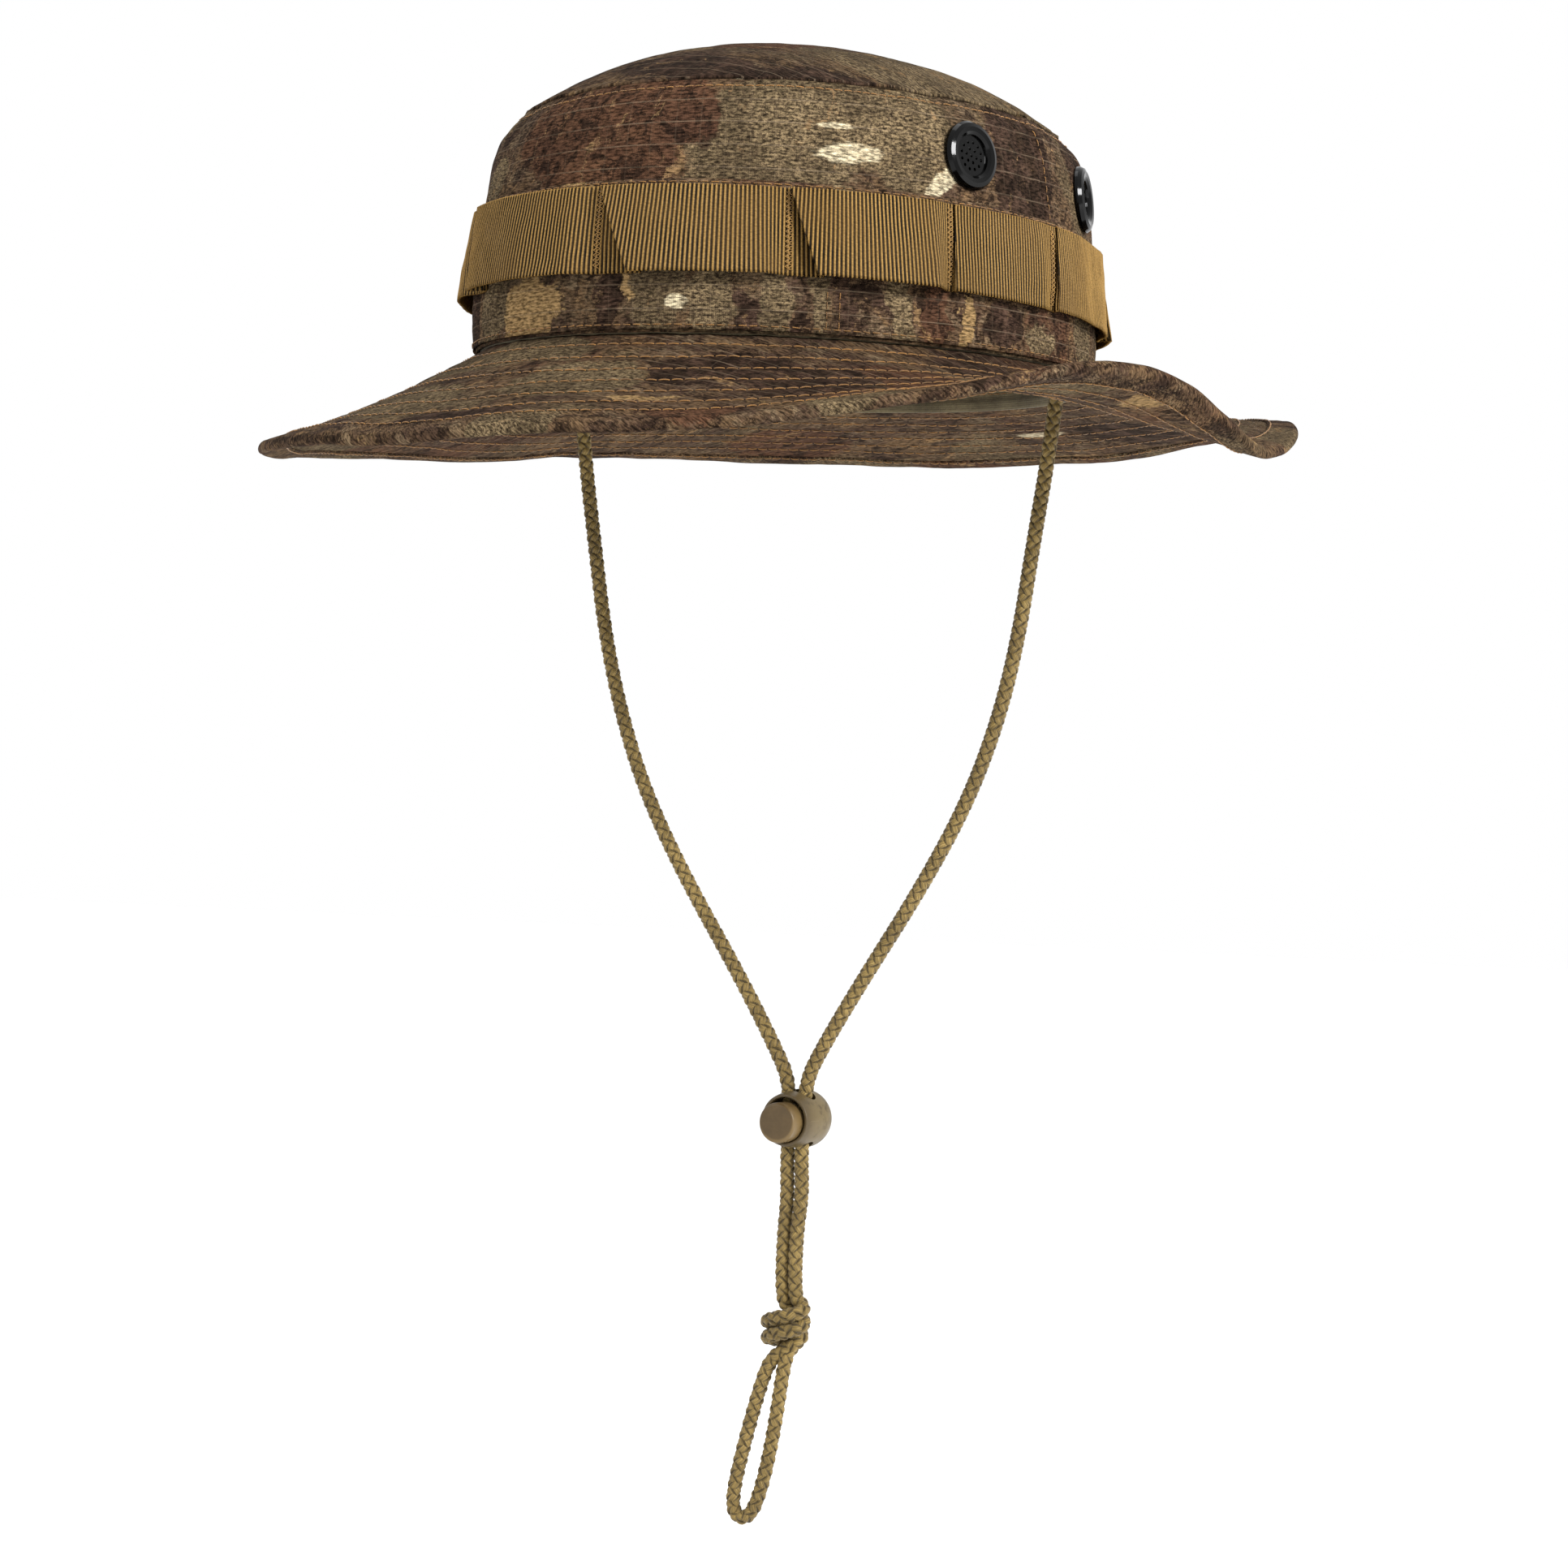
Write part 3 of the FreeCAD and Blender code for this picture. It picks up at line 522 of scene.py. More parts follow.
def camouflage(name, patches, seed, stroke_turn=-55.0, grid=1.0, print_tone_and_painted_shade=PRINT_TONE):
    """Printed ripstop cotton. patches are (kind, centre u, centre v, radius u, radius v, turn)
    in metres and degrees, where kind is rust, olive, dark, light or cream. The last argument scales the
    print's brightness. Where a piece gives a value other than PRINT_TONE, the difference is painted light
    where it is higher and painted shade where it is lower, for how light falls on that piece."""
    g = Graph(name, 0.9)
    uv = g.uv()
    shifted = g.mapped(uv, (seed * 1.37, seed * 0.83, seed))
    ragged = g.vector("SUBTRACT", g.noise(shifted, 80, 5, 0.7, output=1), (0.5, 0.5, 0.5))
    frayed = g.vector("SUBTRACT", g.noise(shifted, 420, 3, 0.7, output=1), (0.5, 0.5, 0.5))
    warp = g.vector("ADD", g.vector("MULTIPLY", ragged, (0.016, 0.014, 0.0)),
                    g.vector("MULTIPLY", frayed, (0.003, 0.004, 0.0)))
    print_uv = g.vector("ADD", uv, warp)
    field_uv = g.vector("ADD", shifted, warp)
    flecks = g.noise(g.mapped(uv, (0, 0, 0), 0, (420, 1500, 1)), 1.0, 2, 0.6)
    grains = g.noise(g.mapped(shifted, (0, 0, 0), 0, (900, 1150, 1)), 1.0, 3, 0.75)
    dither = g.math("MULTIPLY", g.math("SUBTRACT", grains, 0.5), 0.45)

    def biased(kind, scale, offset, cut, width, stretch=(1, 1, 1)):
        """Mask of one printed colour: noise, raised where its patches are."""
        moved = g.mapped(field_uv, (offset, offset * 0.7, offset), 0.0, stretch)
        parts = [g.noise(moved, scale, 4, 0.6), dither]
        for patch in patches:
            if patch[0] == kind:
                parts.append(g.math("MULTIPLY", g.blob(print_uv, patch[1:3], patch[3:5], patch[5]), 0.36))
            elif patch[0] in ("rust", "olive", "dark"):
                parts.append(g.math("MULTIPLY", g.blob(print_uv, patch[1:3], patch[3:5], patch[5]), -0.25))
        return g.between(g.total(parts), cut - width, cut + width)

    def strokes(turn, wide, tall, low, high, offset):
        """Ragged pencil-like strokes that lean at an angle."""
        moved = g.mapped(g.vector("ADD", field_uv, (offset, offset, offset)), (0, 0, 0), turn)
        drawn = g.noise(g.mapped(moved, (0, 0, 0), 0, (wide, tall, 1)), 1.0, 3, 0.6, 0.8)
        return g.between(g.math("ADD", drawn, g.math("MULTIPLY", dither, 0.3)), low, high)

    tint = g.noise(field_uv, 42, 6, 0.72)
    base = g.mix(g.between(tint, 0.36, 0.66), UMBER, BROWN)
    smudge = g.noise(g.mapped(field_uv, (2, 2, 2), 0, (60, 210, 1)), 1.0, 4, 0.7)
    base = g.mix(g.between(smudge, 0.5, 0.68, 0.0, 0.7), base, "7c6a52")
    rust = biased("rust", 16, 3.1, 0.60, 0.06)
    rust_tone = g.mix(g.between(tint, 0.38, 0.64), "4a3326", RUST)
    base = g.mix(g.math("MULTIPLY", rust, 0.9), base, rust_tone)
    olive = biased("olive", 19, 5.7, 0.575, 0.05)
    olive_tone = g.mix(g.between(g.noise(field_uv, 50, 5, 0.65), 0.4, 0.62), OLIVE, KHAKI)
    olive_tone = g.mix(g.between(grains, 0.47, 0.56, 0.0, 0.85), olive_tone, "382d22")
    base = g.mix(olive, base, olive_tone)
    plain = g.math("SUBTRACT", 1.0, g.math("MULTIPLY", olive, 0.8))
    bark = g.math("MAXIMUM", strokes(stroke_turn, 70, 330, 0.53, 0.60, 1.3),
                  strokes(-stroke_turn * 0.7, 80, 300, 0.57, 0.64, 7.7))
    base = g.mix(g.math("MULTIPLY", g.math("MULTIPLY", bark, plain), 0.8), base, DARK)
    dark = biased("dark", 22, 9.2, 0.615, 0.05, (1.5, 0.7, 1))
    dark_tone = g.mix(g.between(g.noise(field_uv, 130, 4, 0.7), 0.42, 0.68), DARK, "4a382e")
    base = g.mix(g.math("MULTIPLY", dark, 0.92), base, dark_tone)
    base = g.mix(strokes(stroke_turn + 75, 230, 60, 0.63, 0.71, 4.4), base, "7d6345")
    base = g.mix(g.math("MULTIPLY", biased("light", 30, 12.4, 0.71, 0.06), 0.7), base, TAN)
    fray = g.vector("ADD", uv, g.vector("MULTIPLY", ragged, (0.010, 0.004, 0.0)))
    cream = [g.blob(fray, patch[1:3], patch[3:5], patch[5]) for patch in patches
             if patch[0] == "cream"]
    if cream:
        scratch = g.noise(g.mapped(uv, (0, 0, 0), 0, (260, 1500, 1)), 1.0, 3, 0.75)
        broken = g.math("ADD", g.total(cream), g.math("MULTIPLY", scratch, 1.6))
        base = g.mix(g.between(broken, 1.35, 2.1, 0.0, 0.9), base, CREAM)
    base = g.shade(base, g.between(flecks, 0.2, 0.8), 0.25 * print_tone_and_painted_shade, 1.75 * print_tone_and_painted_shade)
    lines = ripstop(g, uv, field_uv)
    base = g.mix(g.math("MULTIPLY", lines, 0.20 * grid), base, "a8937a")
    yarn = g.math("MULTIPLY", g.wave(uv, 0.00056, 0), g.wave(uv, 0.00056, 1))
    height = g.total([g.math("MULTIPLY", yarn, 0.35), g.math("MULTIPLY", flecks, 1.0),
                      g.math("MULTIPLY", lines, 0.6 * grid)])
    normal = g.bump(height, 0.0003, 0.9)
    rough = g.between(flecks, 0.0, 1.0, 0.98, 0.8)
    return g.finish(base, normal, rough, Specular_IOR_Level=0.03)


def woven(name, warm, deep, pitch, speckle=0.25):
    """Plain woven cloth of two tones, for the parts inside the hat."""
    g = Graph(name, 0.9)
    uv = g.uv()
    yarn = g.math("MULTIPLY", g.wave(uv, pitch, 0), g.wave(uv, pitch, 1))
    tint = g.noise(uv, 60, 5, 0.6)
    flecks = g.noise(g.mapped(uv, (0, 0, 0), 0, (700, 1300, 1)), 1.0, 2, 0.6)
    base = g.mix(g.between(tint, 0.35, 0.7), deep, warm)
    base = g.shade(base, flecks, 1 - speckle, 1 + speckle)
    height = g.math("ADD", g.math("MULTIPLY", yarn, 0.6), g.math("MULTIPLY", flecks, 0.6))
    return g.finish(base, g.bump(height, 0.00025, 0.8), g.between(tint, 0.2, 0.8, 0.82, 0.95),
                    Sheen_Weight=0.1, Specular_IOR_Level=0.25)


def webbing_cloth():
    """Ribbed nylon tape: ribs run across it, with yarn twists along each rib. The grooves between the ribs
    are painted near-black as shade.
    """
    g = Graph("webbing", 0.62)
    uv = g.uv()
    rib = g.wave(uv, 0.00128, 0)
    twist = g.noise(g.mapped(uv, (0, 0, 0), 35, (900, 2200, 1)), 1.0, 2, 0.5)
    tint = g.noise(uv, 45, 4, 0.6)
    # painted shade: near-black in the grooves between the ribs, the tape's colour on their crests
    base = g.mix(g.between(rib, 0.3, 0.9), "0e0801", "93733f")
    base = g.mix(g.between(tint, 0.35, 0.7, 0.0, 0.35), base, "5f4726")
    base = g.shade(base, twist, 0.55, 1.3)
    height = g.math("ADD", g.math("MULTIPLY", rib, 0.5), g.math("MULTIPLY", twist, 0.7))
    return g.finish(base, g.bump(height, 0.00025, 0.8), g.between(twist, 0.2, 0.8, 0.75, 0.5),
                    Specular_IOR_Level=0.1)


def thread(name, light, deep):
    """Twisted sewing thread, with its plies along UV u and painted shade in the grooves between them."""
    g = Graph(name, 0.55)
    uv = g.uv()
    ply = g.wave(g.mapped(uv, (0, 0, 0), 35), 0.00045, 0)
    tint = g.noise(g.place(), 220, 3, 0.6)
    base = g.mix(g.between(tint, 0.3, 0.7), deep, light)
    # painted shade and light: darker in the grooves between the plies, lighter on their crests
    base = g.shade(base, ply, 0.65, 1.15)
    return g.finish(base, g.bump(ply, 0.0001, 0.8), g.between(tint, 0.3, 0.7, 0.5, 0.7),
                    Sheen_Weight=0.1)


def braid_yarn():
    """One strand of the braided cord: fine filaments along it with a painted highlight, and painted shade
    where it dips under the others and along both of its edges.
    """
    g = Graph("cord_yarn", 0.6)
    uv = g.uv()
    filament = g.noise(g.mapped(uv, (0, 0, 0), 8, (400, 5200, 1)), 1.0, 2, 0.6)
    tint = g.noise(g.place(), 90, 4, 0.6)
    base = g.mix(g.between(tint, 0.3, 0.7), "6d592c", "8b7440")
    base = g.mix(g.between(filament, 0.38, 0.56, 0.7, 0.0), base, "352a0e")
    # painted highlight along the lightest filaments
    base = g.mix(g.between(filament, 0.6, 0.72, 0.0, 0.6), base, "b39c62")
    # painted shade where the strand dips under the crossing strands
    over = g.wave(uv, BRAID_LEAD / 4, 0)
    base = g.mix(g.between(over, 0.1, 0.7, 0.9, 0.0), base, "1d1605")
    # painted shade along both edges of the strand, where it meets its neighbours
    side = g.wave(uv, math.pi * STRAND, 1)
    base = g.mix(g.between(side, 0.25, 1.0, 0.0, 0.8), base, "2a2009")
    return g.finish(base, g.bump(filament, 0.0002, 0.9), g.between(filament, 0.3, 0.7, 0.75, 0.5),
                    Sheen_Weight=0.08, Specular_IOR_Level=0.3)


def gloss_plastic():
    """Black moulded plastic with a faint orange-peel skin and dust in fine marks."""
    g = Graph("vent_plastic", 0.12)
    place = g.place()
    skin = g.noise(place, 900, 2, 0.5)
    marks = g.noise(g.mapped(place, (0, 0, 0), 25, (300, 2500, 300)), 1.0, 4, 0.7)
    base = g.mix(g.between(marks, 0.68, 0.82, 0.0, 0.2), "030303", "1c1a18")
    rough = g.between(marks, 0.5, 0.8, 0.10, 0.22)
    return g.finish(base, g.bump(skin, 0.00003, 0.4), rough, Specular_IOR_Level=0.16)


BRAID_LEAD = 0.0160
STRAND = 1.24 * MM
LOCK_CENTRE = Vector((1.22, 15.0, -231.0)) * MM


def moulded(name, plain, worn, deep, rim, parting):
    """Satin moulded plastic of the cord lock, worn at its rim, with a parting line or without."""
    g = Graph(name, 0.4)
    place = g.place()
    local = g.vector("SUBTRACT", place, tuple(LOCK_CENTRE))
    radius = g.vector("LENGTH", g.vector("MULTIPLY", local, (1, 0, 1)))
    tint = g.noise(place, 210, 5, 0.65)
    pores = g.noise(place, 2600, 2, 0.5)
    base = g.mix(g.between(tint, 0.3, 0.75), deep, plain)
    wear = g.math("MULTIPLY", g.between(radius, rim * 0.86, rim, 0.0, 0.7), g.between(tint, 0.3, 0.5))
    base = g.mix(wear, base, worn)
    height = g.math("MULTIPLY", pores, 0.4)
    if parting:
        parts = g.node("ShaderNodeSeparateXYZ")
        g.put(parts.inputs[0], local)
        line = g.between(g.math("ABSOLUTE", parts.outputs[2]), 0.00004, 0.00014, 1.0, 0.0)
        middle = g.math("ABSOLUTE", g.math("ADD", parts.outputs[1], 0.0035))
        line = g.math("MULTIPLY", line, g.between(middle, 0.0017, 0.0021, 1.0, 0.0))
        base = g.mix(g.math("MULTIPLY", line, 0.5), base, worn)
        height = g.math("ADD", height, line)
    return g.finish(base, g.bump(height, 0.00006, 0.6), g.between(tint, 0.3, 0.7, 0.48, 0.36),
                    Specular_IOR_Level=0.3)


def spring_steel():
    g = Graph("spring_steel", 0.3)
    draw = g.noise(g.mapped(g.place(), (0, 0, 0), 0, (400, 400, 4000)), 1.0, 3, 0.6)
    base = g.mix(g.between(draw, 0.3, 0.7), "8b8d90", "c3c5c8")
    return g.finish(base, g.bump(draw, 0.00003, 0.5), g.between(draw, 0.3, 0.7, 0.22, 0.4), Metallic=1.0)


def at(kind, angle, height, wide, tall, turn=0.0):
    """Camouflage patch on the crown, by angle and height in mm, with radii in mm."""
    return (kind, float(arc(angle)), height * MM, wide * MM, tall * MM, turn)


def on_band(kind, angle, *rest):
    """Camouflage patch on the band, whose cloth starts and ends at its seam."""
    return at(kind, angle + (360.0 if angle < BAND_SEAM else 0.0), *rest)


def on_binding(kind, angle, wide):
    """Camouflage patch on the binding, which is cut on the bias."""
    along = 1.6 * 0.7071 * float(arc(angle))
    return (kind, along, -along, wide * MM, wide * MM, 0.0)


CROWN_PATCHES = [
    at("rust", -4, 58, 30, 17, -8), at("rust", 14, 66, 16, 9, -30), at("olive", 37, 60, 25, 19, 20),
    at("olive", 58, 62, 15, 18), at("cream", 46, 53.5, 12.5, 3.2, 3), at("cream", 44, 61, 7, 1.2),
    at("cream", 64, 48, 10, 3.4, 35), at("dark", 84, 56, 17, 20), at("dark", -66, 60, 12, 22, 20),
    at("dark", 112, 62, 16, 10), at("olive", 130, 56, 20, 13, -20), at("rust", 158, 58, 24, 14),
    at("dark", 186, 54, 18, 12, 30), at("olive", 212, 60, 26, 13), at("cream", 208, 56, 9, 2.6),
    at("rust", 246, 58, 20, 16), at("olive", 300, 55, 14, 10), at("olive", -35, 50, 9, 6, 30)]
BAND_PATCHES = [on_band(*patch) for patch in (
    ("light", -16, 9, 15, 9), ("olive", -30, 10, 10, 9), ("light", 6, 14, 6, 5), ("dark", 3, 9, 3.4, 10, -8),
    ("olive", 12, 12, 7, 12), ("cream", 16, 9, 3.4, 2.6), ("olive", 22, 9, 7, 10),
    ("dark", 28.5, 4, 3.0, 8, 4), ("olive", 33, 9, 4, 9), ("dark", 37, 2, 2.2, 7, -6),
    ("olive", 41, 9, 3, 10), ("dark", 50, 13, 5, 4, 0), ("olive", 55, 8, 4, 11, 8),
    ("rust", 62, 9, 5, 12), ("light", 68, 8, 3, 9, -10), ("dark", 78, 9, 10, 6, 0),
    ("olive", 88, 6, 8, 5), ("dark", -42, 9, 6, 10, 0), ("light", 24, 39, 22, 2),
    ("light", -10, 40, 20, 2), ("olive", 106, 12, 9, 10), ("dark", 140, 8, 9, 9),
    ("olive", 176, 10, 14, 9), ("rust", 214, 9, 12, 10), ("dark", 250, 8, 9, 8),
    ("olive", 290, 9, 12, 9))]
DOME_PATCHES = [
    ("dark", 0.022, -0.086, 0.034, 0.010, -6), ("dark", 0.048, -0.074, 0.012, 0.008, 30),
    ("olive", 0.060, -0.005, 0.020, 0.048, -8), ("light", 0.056, 0.018, 0.010, 0.03, -10),
    ("rust", -0.035, -0.052, 0.030, 0.020, 30), ("rust", 0.012, -0.045, 0.016, 0.014, 0),
    ("olive", -0.045, 0.030, 0.020, 0.028, 20), ("dark", 0.010, 0.060, 0.020, 0.016, 0),
    ("cream", -0.030, 0.012, 0.010, 0.003, 20)]
BRIM_PATCHES = [
    ("olive", 0.012, -0.138, 0.020, 0.010, 8), ("olive", -0.030, -0.112, 0.030, 0.009, -14),
    ("olive", 0.128, -0.072, 0.016, 0.024, -30), ("light", 0.040, -0.146, 0.014, 0.002, 20),
    ("rust", 0.086, -0.118, 0.012, 0.005, 40), ("dark", 0.050, -0.118, 0.022, 0.010, 35),
    ("dark", 0.078, -0.112, 0.020, 0.014, 40), ("rust", 0.093, -0.093, 0.014, 0.016, 40),
    ("dark", 0.098, -0.055, 0.012, 0.020, 70), ("olive", -0.050, -0.136, 0.026, 0.013, -20),
    ("olive", -0.110, -0.080, 0.022, 0.018, -40), ("cream", -0.098, -0.066, 0.013, 0.004, 30),
    ("light", 0.146, -0.034, 0.008, 0.018, 80), ("rust", -0.128, -0.040, 0.016, 0.020, 60),
    ("dark", -0.020, -0.164, 0.026, 0.008, 0), ("olive", 0.118, 0.040, 0.016, 0.024, 0),
    ("dark", 0.060, 0.128, 0.024, 0.016, -30), ("olive", -0.010, 0.146, 0.024, 0.014, 0),
    ("rust", -0.070, 0.124, 0.020, 0.018, 30), ("dark", -0.124, 0.040, 0.014, 0.026, 0),
    ("cream", 0.020, 0.135, 0.012, 0.003, -20)]
BINDING_PATCHES = [on_binding(*patch) for patch in (
    ("rust", -44, 13), ("olive", -28, 22), ("olive", 2, 20), ("rust", 24, 12), ("olive", 40, 12),
    ("dark", 54, 12), ("light", 66, 8), ("rust", 78, 11), ("light", 92, 12), ("olive", 108, 16),
    ("dark", 124, 10), ("olive", 142, 18), ("rust", 190, 22), ("dark", 240, 20), ("olive", 280, 20))]


# ---------------------------------------------------------------- crown

CROWN_CLOTH = camouflage("camouflage_crown", CROWN_PATCHES, 1)
# The band's print is made lighter and the dome's and brim's darker than the crown's: painted light on the
# band, painted shade on the upward-facing dome and brim.
BAND_CLOTH = camouflage("camouflage_band", BAND_PATCHES, 2, 80.0, print_tone_and_painted_shade=0.86)
DOME_CLOTH = camouflage("camouflage_dome", DOME_PATCHES, 3, 15.0, print_tone_and_painted_shade=0.62)
BRIM_CLOTH = camouflage("camouflage_brim", BRIM_PATCHES, 4, 10.0, print_tone_and_painted_shade=0.68)
UNDER_CLOTH = camouflage("camouflage_brim_under", BRIM_PATCHES[::2], 5, 30.0)
BINDING_CLOTH = camouflage("camouflage_binding", BINDING_PATCHES, 6, 50.0, 0.0)
GOLD_THREAD = thread("gold_thread", "97692c", "6a491d")
WEBBING_THREAD = thread("webbing_thread", "a87e3c", "7a5824")


def crown_sheet(name, first, last, bottom, top, inside, outside, rows, material, closed=False):
    """Cloth layer on the crown between two angles, two heights and two distances from it."""
    columns = int(round((last - first) / 0.5)) + (0 if closed else 1)
    angles = first + (last - first) * np.arange(columns) / (columns if closed else columns - 1)
    low = bottom(angles) if callable(bottom) else np.full(columns, bottom)
    high = top(angles) if callable(top) else np.full(columns, top)
    share = np.linspace(0, 1, rows)[:, None]
    z = low + (high - low) * share
    grid = np.broadcast_to(angles, z.shape)
    wave_z = np.clip(z, 0, TOP_SEAM)
    offset = crown_offset(z) + crown_wave(grid, wave_z)
    low_z = z - sunk(grid, z)
    front, back = oval(grid, offset + outside, low_z), oval(grid, offset + inside, low_z)
    ends = np.append(angles, last) if closed else angles
    uv = np.stack(np.broadcast_arrays(arc(ends), (low + (high - low) * share)[:, [0]]), axis=-1)
    uv = np.array(uv)
    height = np.concatenate([z, z[:, :1]], axis=1) if closed else z
    uv[..., 1] = height
    return front, back, uv, material, closed


def crown_side(name, first, last):
    """Half of the crown's side wall, with holes where the vents go through."""
    front, back, uv, material, closed = crown_sheet(
        name, first, last, 0.2 * MM, TOP_SEAM, -CLOTH, 0.0, 90, CROWN_CLOTH)
    edge = np.minimum(uv[..., 0] - uv[0, 0, 0], uv[0, -1, 0] - uv[..., 0])
    dip = 0.5 * MM * np.exp(-(edge / 0.0012)**2)[..., None]
    inward = unit(back - front)
    front, back = front + inward * dip, back + inward * dip * 0.2
    centre = 0.25 * (front[1:, 1:] + front[:-1, 1:] + front[1:, :-1] + front[:-1, :-1])
    keep = np.ones(centre.shape[:2], bool)
    for vent in VENTS:
        keep &= np.linalg.norm(centre - vent_centre(vent), axis=-1) > VENT_HOLE
    return sheet_mesh(name, front, back, uv, material, closed, keep)


def dome(name):
    """The crown's top panel, as a square grid pressed into an oval."""
    count = 181
    side = np.linspace(-1, 1, count)
    a, b = np.meshgrid(side, side)
    u, v = a * np.sqrt(1 - b**2 / 2), b * np.sqrt(1 - a**2 / 2)
    k = np.clip(np.hypot(u, v), 0, 1)
    angle = np.degrees(np.arctan2(u, -v))
    x, y = (HALF_WIDTH + DOME_EDGE) * u, (HALF_LENGTH + DOME_EDGE) * v
    flat = np.stack([x, y, 0 * x], axis=-1)
    soft = 1.1 * noise_at(flat, (26, 26, 0), 21) * (1 - k**6)
    crinkle = 0.22 * noise_at(flat, (120, 120, 0), 22) + 0.10 * noise_at(flat, (260, 260, 0), 23)
    rim = oval(angle, 0.0, 0.0)
    puckers = 0.8 * k**14 * noise_at(rim, (150, 150, 0), 4)
    z = DOME_FOOT + CLOTH + DOME_RISE * (1 - k**DOME_POWER) + (soft + crinkle + puckers) * MM
    z = z - sunk(angle, np.full(k.shape, TOP_SEAM)) * k**1.6
    spread = 1 + crown_wave(angle, np.full(k.shape, TOP_SEAM)) * k**8 / 0.09
    front = np.stack([x * spread, y * spread, z], axis=-1)
    back = front - np.array([0, 0, CLOTH])
    uv = np.stack([x, y], axis=-1)
    return sheet_mesh(name, front, back, uv, DOME_CLOTH)


def crown_layer(name, bottom, top, inside, outside, rows, material, first=0.0):
    front, back, uv, material, closed = crown_sheet(
        name, first, first + 360.0, bottom, top, inside, outside, rows, material, closed=True)
    return sheet_mesh(name, front, back, uv, material, closed)


def row_of_stitches(surface, v, pitch, length, lift, first=0.0, last=360.0):
    """Stitches along a line round the hat; v is a number or a function of the angle."""
    count = int((arc(last) - arc(first)) / pitch)
    angles = angle_at(arc(first) + (np.arange(count) + 0.5) * (arc(last) - arc(first)) / count)
    heights = v(angles) if callable(v) else np.full(count, v)
    return stitch_paths(surface, angles, heights, "u", length, lift)


def crown_pieces():
    stand_for(crown_side("crown_side_front_cloth", -90.0, 90.0), "hat",
              ["crown_side_front"])
    stand_for(crown_side("crown_side_back_cloth", 90.0, 270.0), "hat",
              ["crown_side_back"])
    stand_for(dome("crown_top_cloth"), "hat", ["crown_top"])
    band = crown_layer("crown_band_cloth", 1.0 * MM, band_top, GAP, CLOTH + GAP, 46, BAND_CLOTH,
                       BAND_SEAM)
    stand_for(band, "hat", ["crown_band"])
    lining = woven("sweatband_cloth", "71664c", "564d39", 0.0007)
    front, back, uv, material, closed = crown_sheet(
        "sweatband", 0.0, 360.0, -2.9 * MM, 31.0 * MM, -1.9 * MM, -0.9 * MM, 36, lining, closed=True)
    tuck = 1.3 * MM * smooth((1.5 * MM - front[..., 2:]) / (1.5 * MM))
    inward = unit(back - front)
    sweatband = sheet_mesh("sweatband_cloth", front + inward * tuck, back + inward * tuck, uv,
                           material, closed)
    stand_for(sweatband, "hat", ["sweatband"])
    tape = woven("lining_tape", "7b6c4c", "5f5238", 0.0006)
    angles = np.arange(0, 360, 0.5)[None, :]
    z = np.linspace(71.4, 74.4, 5)[:, None] * MM - sunk(angles, TOP_SEAM + 0 * angles)
    front, back = oval(angles, -8.6 * MM, z), oval(angles, -9.4 * MM, z)
    uv = np.stack(np.meshgrid(arc(np.arange(0, 360.5, 0.5)), np.linspace(0, 0.003, 5)), axis=-1)
    piece = sheet_mesh("crown_seam_tape_cloth", front, back, uv, tape, closed=True)
    stand_for(piece, "hat", ["crown_seam_tape"])


def label_piece():
    """Blank care label sewn inside the back of the sweatband."""
    angles = angle_at(arc(180.0) + np.linspace(-18, 18, 61) * MM)
    z = np.linspace(7, 25, 31)[:, None] * MM
    grid, z = np.broadcast_arrays(angles, z)
    offset = crown_offset(z) + crown_wave(grid, z) - 2.0 * MM
    across = np.linspace(-1, 1, 61)
    lift = 0.25 * MM * (1 - across**6) * (1 - np.linspace(-1, 1, 31)[:, None]**6)
    front, back = oval(grid, offset - lift, z), oval(grid, offset - lift - 0.3 * MM, z)
    uv = np.stack([arc(grid), z], axis=-1)
    cloth = woven("label", "d8d2c4", "c6bfae", 0.0005, 0.1)
    piece = sheet_mesh("care_label_cloth", front, back, uv, cloth)
    stand_for(piece, "hat", ["care_label"])


def crown_stitches():
    outer = lambda angle, z: crown_point(angle, z, 0.0)
    band = lambda angle, z: crown_point(angle, z, CLOTH + GAP)
    paths = [row_of_stitches(outer, 72.3 * MM, 3.2 * MM, 2.6 * MM, 0.0)]
    paths.append(row_of_stitches(band, 2.3 * MM, 3.0 * MM, 2.4 * MM, 0.0))
    paths.append(row_of_stitches(band, lambda a: band_top(a) - 0.9 * MM, 3.0 * MM, 2.4 * MM, 0.0))
    for angle in (BAND_SEAM - 0.9, BAND_SEAM + 1.3):
        z = np.arange(3.5, 14.5, 2.8) * MM
        paths.append(stitch_paths(band, np.full(z.shape, angle), z, "v", 2.2 * MM, 0.0))
    for angle in (-88.9, 91.1):
        z = np.arange(44.0, 71.0, 2.8) * MM
        paths.append(stitch_paths(outer, np.full(z.shape, angle), z, "v", 2.2 * MM, 0.0))
    piece = tube_mesh("crown_stitches", np.concatenate(paths), 0.17 * MM, GOLD_THREAD)
    stand_for(piece, "hat", [])
    inner = lambda angle, z: crown_point(-angle, z, -1.9 * MM)
    paths = [row_of_stitches(inner, z * MM, 3.0 * MM, 2.4 * MM, 0.0) for z in (2.6, 29.4)]
    piece = tube_mesh("sweatband_stitches", np.concatenate(paths), 0.17 * MM, GOLD_THREAD)
    stand_for(piece, "hat", [])


# ---------------------------------------------------------------- brim


def brim_sheet(name, top, bottom, puff, columns, rows, material, last=1.0):
    angles = 360.0 * np.arange(columns)[None, :] / columns
    steps = np.linspace(0, last, rows)[:, None]
    grid, steps = np.broadcast_arrays(angles, steps)
    front = brim_point(grid, steps, top, max(puff, 0.0))
    back = brim_point(grid, steps, bottom, min(puff, 0.0))
    ring = np.concatenate([front, front[:, :1]], axis=1)
    return sheet_mesh(name, front, back, ring[..., :2], material, closed=True)


